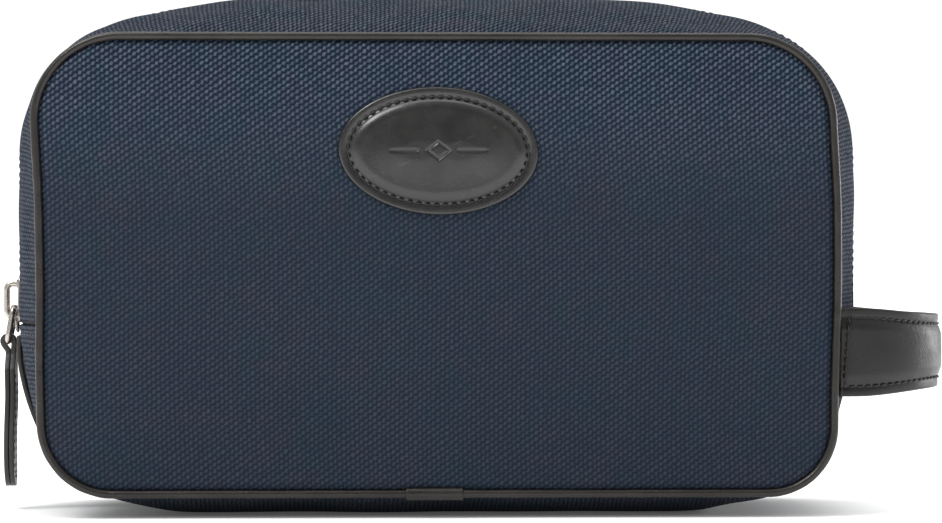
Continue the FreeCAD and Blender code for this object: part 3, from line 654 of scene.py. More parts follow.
def base_layer(name, inset, thickness, relief, edge):
    """A layer under the base and up the lower sides; returns the piece and its flat size."""
    depths = graded(-edge, edge, 1.9)
    piece, length = run_layer(name, depths, inset, thickness, SEAM_DEPTH / 2, False, 1.6, relief)
    return piece, (2 * edge * MM, length * MM)


def seam_sink(depth):
    """Cloth dips towards the piping's seam."""
    return -0.8 * smoothstep(SEAM_DEPTH - 1.8, SEAM_DEPTH, np.abs(depth))


def strip_relief(seed):
    """The zip strips: a turned edge with a stitched channel, soft ripples, and ends tucked under the base."""
    def relief(along, depth, length):
        away = np.abs(depth) - STRIP_EDGE
        channel = -0.28 * bump(away, HEM_STITCH, 0.55)
        fold = 0.22 * (1 - smoothstep(0.2, HEM_STITCH + 2.5, away))
        soft = 0.28 * ripple(along, depth * 1.5, 38.0, seed) * smoothstep(0, 8, SEAM_DEPTH - np.abs(depth))
        tuck = -0.9 * (1 - smoothstep(0.3, 3.0, np.minimum(along, length - along)))
        valley = -0.25 * bump(np.abs(depth), 33.0, 3.2)
        return channel + fold + soft + tuck + seam_sink(depth) + valley
    return relief


def base_relief(along, depth, length):
    """The base cloth: its turned ends lie over the strips and are stitched down."""
    end = np.minimum(along, length - along)
    hem = 0.35 * (1 - smoothstep(4.5, 8.0, end))
    channel = -0.3 * bump(end, HEM_STITCH + 0.4, 0.55)
    soft = 0.3 * ripple(along, depth * 1.2, 45.0, 21) * smoothstep(0, 8, SEAM_DEPTH - np.abs(depth))
    return hem + channel + soft * smoothstep(0, 25, end) + seam_sink(depth)


def hem_row(name, depth, body):
    """Stitches along a strip's turned edge."""
    count = int(run_length(depth, 0.0, True) / STITCH_PITCH)
    fine = np.linspace(0, 1, 1200)
    grid = settle(run_grid((depth, depth + 0.5), 0.0, True, fine))
    normals = grid_normals(grid)[:, 0]
    path = grid[:, 0]
    pick = np.clip(((np.arange(count) + 0.5) / count * 1199).astype(int), 4, 1194)
    places = np.stack([path - normals * 0.18, unit(np.gradient(path, axis=0)), normals], 1)
    return stitches(name, places[pick], NAVY_THREAD, body)


def side_seam_rows():
    """Stitches that hold the base's turned ends to the strips, at both sides."""
    places = []
    depths = np.arange(-SEAM_DEPTH + 2.0, SEAM_DEPTH - 2.0, STITCH_PITCH)
    share = (HEM_STITCH + 0.4) / run_length(SEAM_DEPTH / 2, 0.0, False)
    for station in (share, 1 - share):
        grid = settle(run_grid(depths, 0.0, False, [station - 0.002, station, station + 0.002]))
        normals = grid_normals(grid)[1]
        alongs = unit(np.gradient(grid[1], axis=0))
        places.extend(np.stack([grid[1] + normals * 0.02, alongs, normals], 1))
    return stitches("side_seam_stitching", places, NAVY_THREAD, "bag")


def strip_nodes(side, kind):
    """The CAD nodes of one half of the zip's arch: in front, its ends are nodes of their own."""
    return [f"{side}_{kind}"] + ([f"{side}_{kind}_ends"] if side == "front" else [])


for side, sign, body in SIDES:
    cloth, flat = arched_layer(f"{side}_zip_cloth", sign * STRIP_EDGE, sign * (SEAM_DEPTH + SEAM_TUCK),
                               CLOTH / 2, CLOTH, strip_relief(11 if sign > 0 else 12))
    dress(cloth, NAVY_STRIP, body, strip_nodes(side, "zip_strip"))
    hem_row(f"{side}_hem_stitching", sign * (STRIP_EDGE + HEM_STITCH), body)

base_cloth, base_flat = base_layer("base_cloth", CLOTH / 2, CLOTH, base_relief, SEAM_DEPTH + SEAM_TUCK)
dress(base_cloth, NAVY_STRIP, "bag", ["base_gusset"])
side_seam_rows()


# ---- linings, tapes and coils ----

LINING_INSET = 1.4
TAPE_INSET = 2.65
COIL_INSET = 1.7

base_lining, lining_flat = base_layer("base_lining_cloth", LINING_INSET, LINING, None, SEAM_DEPTH - 0.2)
dress(base_lining, LINING_CLOTH, "bag", ["base_lining"])

for side, sign, body in SIDES:
    cloth, flat = arched_layer(f"{side}_strip_lining_cloth", sign * (TAPE_EDGE + 0.3),
                               sign * (SEAM_DEPTH - 0.2), LINING_INSET, LINING)
    dress(cloth, LINING_CLOTH, body, strip_nodes(side, "strip_lining"))
    band, flat = arched_layer(f"{side}_zip_tape_cloth", sign * 0.9, sign * TAPE_EDGE, TAPE_INSET, 0.5)
    dress(band, TAPE, body, strip_nodes(side, "zip_tape"))


def coil(side, sign, body, pitch=1.4, steps=13):
    """One half of the zip: a filament wound along the tape's edge, its heads reaching past the middle."""
    length = run_length(0.0, COIL_INSET, True)
    turns = int((length - 1.0) / pitch)
    angle = np.linspace(0, TURN * turns, turns * steps + 1)
    along = 0.5 + angle / TURN * pitch
    fine = np.linspace(0, 1, 3000)
    grid = run_grid((0.0, 1.0), COIL_INSET, True, fine)
    base, normals = grid[:, 0], grid_normals(grid)[:, 0]
    pick = np.interp((along + (0.0 if sign > 0 else pitch / 2)) / length, fine, np.arange(3000))
    low = np.clip(pick.astype(int), 0, 2998)
    rest = (pick - low)[:, None]
    out = unit(normals[low] * (1 - rest) + normals[low + 1] * rest)
    points = base[low] * (1 - rest) + base[low + 1] * rest + out * (0.48 * np.cos(angle))[:, None]
    points[:, 1] += sign * (1.4 + 1.45 * np.sin(angle))
    radius = 0.27 + 0.09 * np.clip(-np.sin(angle), 0, 1) ** 6
    piece = new_mesh(f"{side}_coil", *tube(settle(points), radius, 7))
    dress(piece, COIL, body, strip_nodes(side, "zip_coil"))


for side, sign, body in SIDES:
    coil(side, sign, body)


# ---- panels ----

def corner_round(height):
    """The panel's corner radius, which is a little larger at the top than at the bottom."""
    share = np.clip((height - ROUND_FROM) / (ROUND_TO - ROUND_FROM), 0, 1)
    return PANEL_ROUND_LOW + (PANEL_ROUND_HIGH - PANEL_ROUND_LOW) * share


def perimeter(wide, tall, fan):
    """Base points, outward directions, radii and grid places round the panel's edge."""
    heights = np.linspace(ROUND_FROM, ROUND_TO, tall)
    last_i, last_j = wide - 1, tall - 1
    rows = []

    def add(i, j, direction):
        reach = PANEL_HALF - corner_round(heights[j])
        x = -reach + 2 * reach * i / last_i
        rows.append((x, heights[j], *direction, corner_round(heights[j]), i, j))

    def corner(i, j, start):
        for angle in np.radians(np.linspace(start, start + 90, fan + 2)[1:-1]):
            add(i, j, (math.cos(angle), math.sin(angle)))

    for i in range(wide):
        add(i, 0, (0, -1))
    corner(last_i, 0, -90)
    for j in range(tall):
        add(last_i, j, (1, 0))
    corner(last_i, last_j, 0)
    for i in range(wide)[::-1]:
        add(i, last_j, (0, 1))
    corner(0, last_j, 90)
    for j in range(tall)[::-1]:
        add(0, j, (-1, 0))
    corner(0, 0, 180)
    return np.array(rows, float), heights


def panel_plan(extra, wide=118, tall=56, fan=14):
    """A flat mesh of the panel's outline grown by extra: points (x, z), distance from the rim, and faces."""
    rows, heights = perimeter(wide, tall, fan)
    points, away = [], []
    for height in heights:
        reach = PANEL_HALF - corner_round(height)
        for i in range(wide):
            points.append((-reach + 2 * reach * i / (wide - 1), height))
            away.append(corner_round(height) + extra)
    faces = quads(tall, wide)
    count = len(rows)
    ring = (rows[:, 6] * wide + rows[:, 5]).astype(int)
    for share in np.concatenate([np.linspace(0, 0.8, 13)[1:], np.linspace(0.8, 1.0, 15)[1:]]):
        start = len(points)
        for x, z, nx, nz, radius, _, _ in rows:
            reach = (radius + extra) * share
            points.append((x + nx * reach, z + nz * reach))
            away.append(radius + extra - reach)
        following = np.arange(start, start + count)
        for k in range(count):
            a, b = int(ring[k]), int(ring[(k + 1) % count])
            c, d = int(following[(k + 1) % count]), int(following[k])
            faces.append((a, d, c) if a == b else (a, b, c, d))
        ring = following
    return np.array(points), np.array(away), faces


CLOTH_PLAN = panel_plan(PANEL_TUCK)
PAD_PLAN = panel_plan(-3.4, wide=80, tall=40)
LINING_PLAN = panel_plan(0.0, wide=80, tall=40)
FRONT_SEED = 31
REAR_SEED = 41
PAD_INSET = 1.1
PANEL_LINING_INSET = 3.2


def panel_swell(x, z, seed):
    """The padded panel's gentle crown and unevenness, in millimetres outwards."""
    to_edge = (PANEL_HALF - np.abs(x), PANEL_HIGH[2] - z, z - PANEL_LOW[2])
    side, top, bottom = (1 - np.exp(-away / 13.0) for away in to_edge)
    return (1.7 + 0.35 * ripple(x, z, 85.0, seed)) * side * top * bottom


def panel_piece(name, plan, face, thickness, sign, swell, seed, rolled=False):
    """One layer of a panel; face is the depth of its outer side, and a rolled one turns in at its rim."""
    points, away, plan_faces = plan
    x, z = points[:, 0], points[:, 1]
    outwards = swell * panel_swell(x, z, seed)
    if rolled:
        outwards = outwards - 1.7 * (1 - smoothstep(0.0, 3.0, away)) ** 1.3
        near = 1 - smoothstep(1.5, 13.0, away)
        outwards = outwards + 0.16 * near * ripple(x, z, 11.0, seed + 5) * smoothstep(0.5, 3.0, away)
    half = thickness / 2 * rounded(away / (thickness / 2))
    middle = face - thickness / 2 + outwards
    outer, inner = (settle(np.stack([x, sign * depth, z], 1)) for depth in (middle + half, middle - half))
    return two_sided(name, outer, inner, plan_faces, points)


def panel_nodes(side, kind):
    return [f"front_{kind}_upper", f"front_{kind}_lower"] if side == "front" else [f"rear_{kind}"]


for side, sign, body in SIDES:
    seed = FRONT_SEED if side == "front" else REAR_SEED
    cloth = panel_piece(f"{side}_panel_cloth", CLOTH_PLAN, PANEL_FACE, CLOTH, sign, 1.0, seed, rolled=True)
    dress(cloth, NAVY, body, panel_nodes(side, "panel"))
    pad = panel_piece(f"{side}_foam_pad", PAD_PLAN, PANEL_FACE - PAD_INSET, 2.0, sign, 0.8, seed)
    dress(pad, FOAM, body, panel_nodes(side, "foam"))
    cloth = panel_piece(f"{side}_lining_cloth", LINING_PLAN, PANEL_FACE - PANEL_LINING_INSET, LINING, sign,
                        0.15, seed)
    dress(cloth, LINING_CLOTH, body, panel_nodes(side, "lining"))


# ---- piping ----

PIPING_SIDES = 16
CORD_RADIUS = 0.9


def ring_path(offset, sign, depth, count=760):
    """A closed path round a panel, at a distance outside its edge."""
    rows, _ = perimeter(60, 40, 30)
    plan = rows[:, :2] + rows[:, 2:4] * (rows[:, 4:5] + offset)
    plan = np.concatenate([plan, plan[:1]])
    length = lengths_along(plan)
    where = np.linspace(0, length[-1], count, endpoint=False)
    x, z = at_lengths(where, length, plan).T
    return np.stack([x, np.full(count, sign * depth), z], 1), where


def piping(side, sign, body):
    """A leather tube along the panel's edge over a plain cord."""
    path, where = ring_path(PIPING_OUT, sign, PIPING_DEPTH)
    path[:, 1] += sign * 0.12 * ripple(where, 0 * where, 60.0, 51)
    path = settle(path)
    radius = PIPING_RADIUS * (1 + 0.02 * ripple(where, 0 * where, 9.0, 52))
    verts, faces, uv = tube(path, radius, PIPING_SIDES, closed=True)
    spokes = verts.reshape(-1, PIPING_SIDES, 3) - path[:, None]
    uneven = ripple(where[:, None], np.arange(PIPING_SIDES)[None, :] * 3.0, 5.0, 53)
    verts = path[:, None] + spokes * (1 + 0.012 * uneven)[..., None]
    skin = new_mesh(f"{side}_piping_skin", verts, faces, uv)
    dress(skin, PIPING_LEATHER, body, panel_nodes(side, "piping"))
    cord = new_mesh(f"{side}_piping_core", *tube(path[::2], CORD_RADIUS, 10, closed=True))
    dress(cord, CORE, body, panel_nodes(side, "piping_cord"))


def sleeve(side, sign):
    """The short leather wrap over the piping's joint, at the bottom."""
    low, high = box_mm(f"{side}_piping_sleeve")
    x = graded(low[0], high[0], 0.6, fine=(0.0, 0.1, 0.25, 0.45))
    end = np.minimum(x - x[0], x[-1] - x)
    outer = 1.62 + 0.3 * rounded(end / 0.35) + 0.03 * ripple(x, 0 * x, 4.0, 61)
    height = np.full_like(x, PANEL_LOW[2] - PIPING_OUT)
    path = settle(np.stack([x, np.full_like(x, sign * PIPING_DEPTH), height], 1))
    piece = new_mesh(f"{side}_sleeve_wrap", *tube(path, outer, 20))
    dress(piece, PIPING_LEATHER, "bag", [f"{side}_piping_sleeve"])


for side, sign, body in SIDES:
    piping(side, sign, body)
for side, sign, body in SIDES:
    sleeve(side, sign)


# ---- patch ----

PATCH_BOX = box_mm("patch_leather")
PATCH_CENTRE = (PATCH_BOX[0] + PATCH_BOX[1]) / 2
PATCH_HALF = (PATCH_BOX[1] - PATCH_BOX[0]) / 2
PATCH_LEATHER_THICK = 1.1
PATCH_RISE = 0.84


def patch_height(x, z, inside):
    """How far the patch's face stands above its back: rim, stitched channel, padded dome and motif."""
    rim = 1.15 * rounded(inside / 0.9)
    channel = -0.38 * bump(inside, PATCH_RIM, 0.75)
    shoulder = np.clip((inside - PATCH_RIM - 0.6) / 3.4, 0, 1)
    dome = 1.35 * (1 - (1 - shoulder) ** 2.2)
    crown = 0.55 * smoothstep(PATCH_RIM + 2.0, 19.0, inside)
    reach = np.abs(x)
    line = bump(z, 0.0, 0.42) * smoothstep(5.6, 6.2, reach) * smoothstep(15.0, 12.0, reach)
    ring = bump(reach + 1.25 * np.abs(z), 3.2, 0.5)
    return rim + channel + dome + crown - 0.34 * np.maximum(line, ring)


def on_panel(x, z, rise):
    """Points at a height above the front panel's face, at places measured from the patch's centre."""
    x, z = x + PATCH_CENTRE[0], z + PATCH_CENTRE[2]
    return settle(np.stack([x, -(PANEL_FACE + panel_swell(x, z, FRONT_SEED) + rise), z], -1))


def ellipse(shares, half, angles):
    return shares[:, None] * half[0] * np.cos(angles), shares[:, None] * half[2] * np.sin(angles)


def patch():
    """The oval leather patch, its padding and its round of stitches."""
    angles = np.linspace(0, TURN, 384, endpoint=False)
    shares = np.concatenate([np.linspace(0, 0.9, 80), np.linspace(0.9, 1.0, 31)[1:]])
    x, z = ellipse(shares, PATCH_HALF, angles)
    slope = np.hypot(x / PATCH_HALF[0] ** 2, z / PATCH_HALF[2] ** 2) / np.maximum(shares[:, None], 1e-6)
    height = patch_height(x, z, (1 - shares[:, None]) / np.maximum(slope, 1e-6))
    back = np.clip(height - PATCH_LEATHER_THICK, 0, None)
    piece = two_sided("patch_oval", on_panel(x, z, height + 0.02), on_panel(x, z, back + 0.02),
                      quads(*x.shape, close_columns=True))
    dress(piece, PATCH_LEATHER, "mouth", ["patch_leather"])

    shares = np.linspace(0, 1, 30)
    x, z = ellipse(shares, PATCH_HALF - (PATCH_RIM + 2.6), angles[::4])
    rise = 0.75 * np.sqrt(np.clip(1 - shares[:, None] ** 6, 0, 1))
    pad = two_sided("patch_wadding", on_panel(x, z, rise + 0.05), on_panel(x, z, 0.05),
                    quads(*x.shape, close_columns=True))
    dress(pad, FOAM, "mouth", ["patch_padding"])

    fine = np.linspace(0, TURN, 2000)
    wide, tall = PATCH_HALF[0] - PATCH_RIM, PATCH_HALF[2] - PATCH_RIM
    length = lengths_along(np.stack([wide * np.cos(fine), tall * np.sin(fine)], 1))
    count = round(length[-1] / STITCH_PITCH)
    angle = np.interp((np.arange(count) + 0.5) / count * length[-1], length, fine)
    centres = on_panel(wide * np.cos(angle), tall * np.sin(angle), PATCH_RISE)
    alongs = np.stack([-wide * np.sin(angle), 0 * angle, tall * np.cos(angle)], 1)
    places = np.stack([centres, alongs, np.tile([0.0, -1.0, 0.0], (count, 1))], 1)
    stitches("patch_thread", places, BLACK_THREAD, "mouth", ["patch_stitching"], length=2.0, radius=0.32)


patch()


# ---- handle ----

HANDLE_LOW, HANDLE_HIGH = box_mm("handle_outer")
HANDLE_START = 119.4
HANDLE_BEND = 34.0
HANDLE_LEATHER = 1.25
HANDLE_THICK = 4.9
HANDLE_STITCH = 3.0
PAD_DEPTH = 1.3
PAD_EDGE = 3.4


def strap_path(step=0.8):
    """The strap's outer line in plan, with its inward normals."""
    reach, half = HANDLE_HIGH[0], HANDLE_HIGH[1]
    cx, cy = reach - HANDLE_BEND, half - HANDLE_BEND
    rows = [(x, -half, 0.0, 1.0) for x in np.linspace(HANDLE_START, cx, 5)[:-1]]
    turn = np.linspace(0, math.pi / 2, int(HANDLE_BEND * math.pi / 2 / step))
    for a in turn:
        s, c = math.sin(a), math.cos(a)
        rows.append((cx + HANDLE_BEND * s, -cy - HANDLE_BEND * c, -s, c))
    for y in np.linspace(-cy, cy, int(2 * cy / step))[1:-1]:
        rows.append((reach, y, -1.0, 0.0))
    for a in turn[::-1]:
        s, c = math.sin(a), math.cos(a)
        rows.append((cx + HANDLE_BEND * s, cy + HANDLE_BEND * c, -s, -c))
    rows += [(x, half, 0.0, -1.0) for x in np.linspace(cx, HANDLE_START, 5)[1:]]
    rows = np.array(rows)
    return rows[:, :2], rows[:, 2:]


def strap_edges(x):
    """The strap's lower and upper edge at a place along +X: it narrows towards the turn."""
    share = smoothstep(HANDLE_HIGH[0] - 30.0, HANDLE_HIGH[0] + 1.0, x)
    return HANDLE_LOW[2] + 2.2 * share, HANDLE_HIGH[2] - 2.0 * share


def strap_piece(name, outer, inner, edge, material, replaces):
    """A layer of the strap: outer and inner give its faces' depths at a distance from the strap's edge."""
    path, normals = strap_path()
    low, high = strap_edges(path[:, 0])
    across = graded(0.0, 1.0, 0.022, fine=(0.0, 0.004, 0.01, 0.02, 0.034))
    rows, columns = len(path), len(across)
    width = (high - low)[:, None]
    z = low[:, None] + edge + across[None, :] * (width - 2 * edge)
    away = np.minimum(across[None, :], 1 - across[None, :]) * (width - 2 * edge) + edge
    middle = (outer(away) + inner(away)) / 2
    half = (inner(away) - outer(away)) / 2 * rounded((away - edge) / 0.6)
    along = lengths_along(path)
    from_end = np.minimum(along, along[-1] - along)[:, None]
    lean = (z - low[:, None]) / width
    soft = 0.12 * ripple(along[:, None], z, 22.0, 71) + 0.35 * bump(from_end, 0.8 + 1.8 * lean, 0.8)
    sheets = []
    for deep in (middle - half + soft, middle + half + soft):
        xy = path[:, None] + normals[:, None] * deep[..., None]
        sheets.append(np.concatenate([xy, z[..., None]], -1))
    count = rows * columns
    starts = [row * columns + j for row in (0, rows - 1) for j in range(columns - 1)]
    ends = [(a, a + 1, a + 1 + count, a + count) for a in starts]
    uv = np.stack(np.broadcast_arrays(along[:, None], z), -1)
    piece = two_sided(name, *sheets, quads(rows, columns), uv, ends)
    return dress(piece, material, "strap", replaces)


def outer_face(away):
    """Depth of the outer leather's face: proud over the padding, sunk at the stitches, low at the edge."""
    edge = 1 - smoothstep(2.6, 6.5, away)
    return edge - 0.25 * smoothstep(4, 13, away) + 0.3 * bump(away, HANDLE_STITCH, 0.6)


def inner_face(away):
    """Depth of the inner leather's free face."""
    edge = 1 - smoothstep(2.6, 6.5, away)
    return HANDLE_THICK - edge - 0.3 * bump(away, HANDLE_STITCH, 0.6)


def handle_stitches():
    """Rows along both edges, outside and inside, and a short row at each end."""
    path, normals = strap_path()
    along = lengths_along(path)
    tangents = unit(np.gradient(path, axis=0))
    margin = 2.2
    run = along[-1] - 2 * margin
    count = int(run / STITCH_PITCH)
    where = margin + (np.arange(count) + 0.5) / count * run
    px, py = at_lengths(where, along, path).T
    nx, ny = at_lengths(where, along, normals).T
    tx, ty = at_lengths(where, along, tangents).T
    low, high = strap_edges(px)
    places = []
    for height in (low + HANDLE_STITCH, high - HANDLE_STITCH):
        for deep, turn in ((1.06, 1.0), (HANDLE_THICK - 1.06, -1.0)):
            centre = np.stack([px + nx * deep, py + ny * deep, height], 1)
            out = np.stack([-nx * turn, -ny * turn, 0 * nx], 1)
            places.extend(np.stack([centre, np.stack([tx, ty, 0 * tx], 1), out], 1))
    for y, out in ((-HANDLE_HIGH[1], -1.0), (HANDLE_HIGH[1], 1.0)):
        for height in np.arange(HANDLE_LOW[2] + 3.6, HANDLE_HIGH[2] - HANDLE_STITCH, STITCH_PITCH * 0.93):
            lean = (height - HANDLE_LOW[2]) / (HANDLE_HIGH[2] - HANDLE_LOW[2])
            centre = (HANDLE_START + 0.8 + 1.8 * lean, y + out * 0.12, height)
            places.append((centre, (0.06, 0.0, 1.0), (0.0, out, 0.0)))
    stitches("handle_thread", places, BLACK_THREAD, "strap", ["handle_stitching"], length=1.95, radius=0.31)


strap_piece("handle_outer_leather", outer_face, lambda away: outer_face(away) + HANDLE_LEATHER, 0.0,
            BLACK_LEATHER, ["handle_outer", "handle_outer_ends"])
strap_piece("handle_inner_leather", lambda away: inner_face(away) - HANDLE_LEATHER, inner_face, 0.0,
            BLACK_LEATHER, ["handle_inner", "handle_inner_ends"])
padding = strap_piece("handle_padding", lambda away: outer_face(away) + PAD_DEPTH,
                      lambda away: inner_face(away) - PAD_DEPTH, PAD_EDGE, FOAM, ["handle_filler"])
handle_stitches()


# ---- folded pull ----

PULL_BOX = box_mm("zip_pull")
PULL_HALF = PULL_BOX[1][1]
PULL_BOTTOM = PULL_BOX[0][2]
PULL_LEATHER_THICK = 1.5
PULL_OUTER = -131.45
PULL_INNER = -128.35
PULL_STITCH = 2.9
LINK_WIRE = 0.95


def pull_sway(z):
    """The strip's slight wave sideways, none at its neck."""
    return -0.25 * np.sin((z - 8.6) / 42.0 * TURN) * (1 - smoothstep(32, 43, z))


def ribbon(curve, normals, width, ring, deep):
    """Rings of points of a strap along a curve in (x, z), with its width along Y."""
    verts = np.zeros((len(curve), len(ring), 3))
    verts[..., 0] = curve[:, 0, None] + normals[:, 0, None] * deep
    verts[..., 1] = width[:, None] * ring[None, :, 0]
    verts[..., 2] = curve[:, 1, None] + normals[:, 1, None] * deep
    return verts


def pull_strip():
    """A leather strip folded round the link: down the outside, over the link's bar, down the inside."""
    px, _, pz = np.array(JOINTS["pull_pivot"]["pos_m"]) / MM
    outer = PULL_OUTER + PULL_LEATHER_THICK / 2
    inner = PULL_INNER - PULL_LEATHER_THICK / 2
    hold = LINK_WIRE + PULL_LEATHER_THICK / 2 + 0.02
    slant = hold * 0.7
    control = [(outer, PULL_BOTTOM), (outer, PULL_BOTTOM + 15.0), (outer, pz - 15.0), (outer, pz - 7.0),
               (outer, pz - 4.0), (outer - 0.15, pz - 2.8), (px - 1.2, pz - 1.3),
               (px - hold, pz), (px - slant, pz + slant), (px, pz + hold), (px + slant, pz + slant),
               (px + hold, pz), (inner + 0.05, pz - 2.4), (inner, pz - 7.0), (inner, pz - 15.0),
               (inner, PULL_BOTTOM + 15.0), (inner, PULL_BOTTOM)]
    path = smooth_path(control, 260)
    path[:, 0] += pull_sway(path[:, 1])
    z = path[:, 1]
    neck = smoothstep(42.1, 48.1, z)
    width = PULL_HALF * rounded((z - PULL_BOTTOM) / PULL_HALF) * (1 - neck) + 2.5 * neck
    tangents = unit(np.gradient(path, axis=0))
    normals = np.stack([tangents[:, 1], -tangents[:, 0]], 1)
    ring = soft_box(40, 0.1, 0.24)
    spread = width[:, None] * ring[None, :, 0]
    inside = np.clip(np.minimum(width[:, None] - np.abs(spread), (z - PULL_BOTTOM)[:, None]), 0, None)
    groove = 0.22 * bump(inside, PULL_STITCH, 0.5) * (1 - neck)[:, None]
    deep = ring[None, :, 1] * (PULL_LEATHER_THICK / 2) - np.sign(ring[None, :, 1]) * groove
    verts = ribbon(path, normals, width, ring, deep)
    faces = ring_faces(len(path), len(ring), first=False, last=False)
    piece = new_mesh("pull_strap", verts, faces, weld=True)
    dress(piece, PULL_LEATHER, "pull", ["zip_pull"])


def pull_stitches():
    """A row round the pull's edge, on both of its faces."""
    reach = PULL_HALF - PULL_STITCH
    straight = np.arange(PULL_BOTTOM + PULL_HALF, 41.6, STITCH_PITCH * 0.95)
    points = [(-reach, h, 0.0, 1.0) for h in straight[::-1]]
    for a in np.linspace(math.pi, TURN, 6)[1:-1]:
        y, h = reach * math.cos(a), PULL_BOTTOM + PULL_HALF + reach * math.sin(a)
        points.append((y, h, -math.sin(a), math.cos(a)))
    points += [(reach, h, 0.0, 1.0) for h in straight]
    places = []
    for y, h, along_y, along_z in points:
        for face, out in ((PULL_OUTER + 0.2, -1.0), (PULL_INNER - 0.2, 1.0)):
            places.append(((face + float(pull_sway(h)), y, h), (0.0, along_y, along_z), (out, 0.0, 0.0)))
    stitches("pull_thread", places, BLACK_THREAD, "pull", ["pull_stitching"], length=1.8, radius=0.25)


pull_strip()
pull_stitches()


# ---- end tab ----

TAB_CURVE = ((-127.75, 53.2), (-127.65, 46.6), (-126.6, 40.1), (-124.6, 32.6), (-120.9, 22.6))
TAB_THICK = 1.6


def end_tab():
    """The short strap over the zip's end: sewn down at its top, free and rounded at its tip."""
    half = box_mm("zip_end_tab")[1][1]
    curve = smooth_path(TAB_CURVE, 120)
    tangents = unit(np.gradient(curve, axis=0))
    inwards = np.stack([-tangents[:, 1], tangents[:, 0]], 1)
    from_top = lengths_along(curve)
    from_tip = from_top[-1] - from_top
    width = half * rounded(from_tip / half)
    ring = soft_box(36, 0.14, 0.45)
    deep = ring[None, :, 1] * TAB_THICK / 2 * np.maximum(rounded(from_top / 0.5), 0.05)[:, None]
    verts = ribbon(curve + inwards * TAB_THICK / 2, inwards, width, ring, deep)
    piece = new_mesh("end_tab_strap", verts, ring_faces(len(curve), len(ring), last=False), weld=True)
    dress(piece, PULL_LEATHER, "bag", ["zip_end_tab"])
    places = []
    for height in (51.2, 48.2):
        k = int(np.argmin(np.abs(curve[:, 1] - height)))
        for y in np.arange(-half + 2.2, half - 1.8, 2.1):
            places.append(((curve[k, 0] + 0.02, y, height), (0.0, 1.0, 0.0), (-1.0, 0.0, 0.0)))
    stitches("end_tab_thread", places, BLACK_THREAD, "bag", length=1.6, radius=0.22, lift=0.1)


end_tab()


# ---- slider ----

SLIDER_BOX = box_mm("zip_slider")
SLIDER_HALF = SLIDER_BOX[1][1]
SLIDER_TOP = SLIDER_BOX[1][2]
SLIDER_BOTTOM = 57.1
SLIDER_FACE = 127.6
SLIDER_INNER = 123.6
PLATE_THICK = 1.1
PLATE_LIP = 1.2
CROWN_HIGH = 68.8


def plate_section(half, face, round_off=0.55, count=6):
    """A channel's section in (y, x): a plate with two lips, as a closed ring of points."""
    corners = []
    for cy, start in ((half - round_off, -90), (-half + round_off, 180)):
        for a in np.radians(np.linspace(start, start + 90, count))[::-1]:
            corners.append((cy + round_off * math.cos(a), -face + round_off + round_off * math.sin(a)))
    inner_half = half - PLATE_THICK * 0.8
    back = -face + PLATE_THICK
    lip = back + PLATE_LIP
    points = [(half, lip)] + corners + [(-half, lip)]
    points += [(-half + 0.25, lip + 0.15), (-inner_half, lip - 0.1), (-inner_half, back + 0.3),
               (-inner_half + 0.3, back), (inner_half - 0.3, back), (inner_half, back + 0.3),
               (inner_half, lip - 0.1), (half - 0.25, lip + 0.15)]
    return np.array(points)


def slider_plate():
    """The shield-shaped channel on the slider's outer side: points and faces."""
    bottom, top = SLIDER_BOTTOM, SLIDER_TOP
    rings = []
    for z in graded(bottom, top, 0.6, fine=(0.0, 0.08, 0.22, 0.45, 0.8)):
        end = min(z - bottom, top - z)
        waist = 1 - 0.2 * float(smoothstep(bottom + 4.0, top - 2.0, z))
        width = SLIDER_HALF * waist * (0.72 + 0.28 * float(rounded(end / 1.6)))
        dome = 0.28 * (1 - ((z - (bottom + top) / 2) / (top - bottom) * 2) ** 2)
        edge_drop = 0.45 * (1 - float(rounded(end / 0.5)))
        section = plate_section(width, SLIDER_FACE)
        outside = section[:, 1] < -SLIDER_FACE + 0.8
        crown = dome * (1 - (section[:, 0] / width) ** 2) * outside
        rings.append(np.stack([section[:, 1] - crown + edge_drop * outside, section[:, 0],
                               np.full(len(section), z)], 1))
    return np.concatenate(rings), ring_faces(len(rings), len(rings[0]))


def lofted(stations, width, near, far, power=0.3, sides=24):
    """A rounded bar up the zip: its half width and the distances of its faces from the middle, by height."""
    ring = soft_box(sides, power, power)
    points = []
    for z in stations:
        end = min(z - stations[0], stations[-1] - z)
        close = math.sqrt(max(0.02, 1 - (1 - min(end / 0.5, 1.0)) ** 2))
        a, b = near(z), far(z)
        x = -((a + b) / 2 + ring[:, 1] * (b - a) / 2 * close)
        points.append(np.stack([x, ring[:, 0] * width(z) * (0.85 + 0.15 * close), np.full(sides, z)], 1))
    return np.concatenate(points), ring_faces(len(stations), sides)


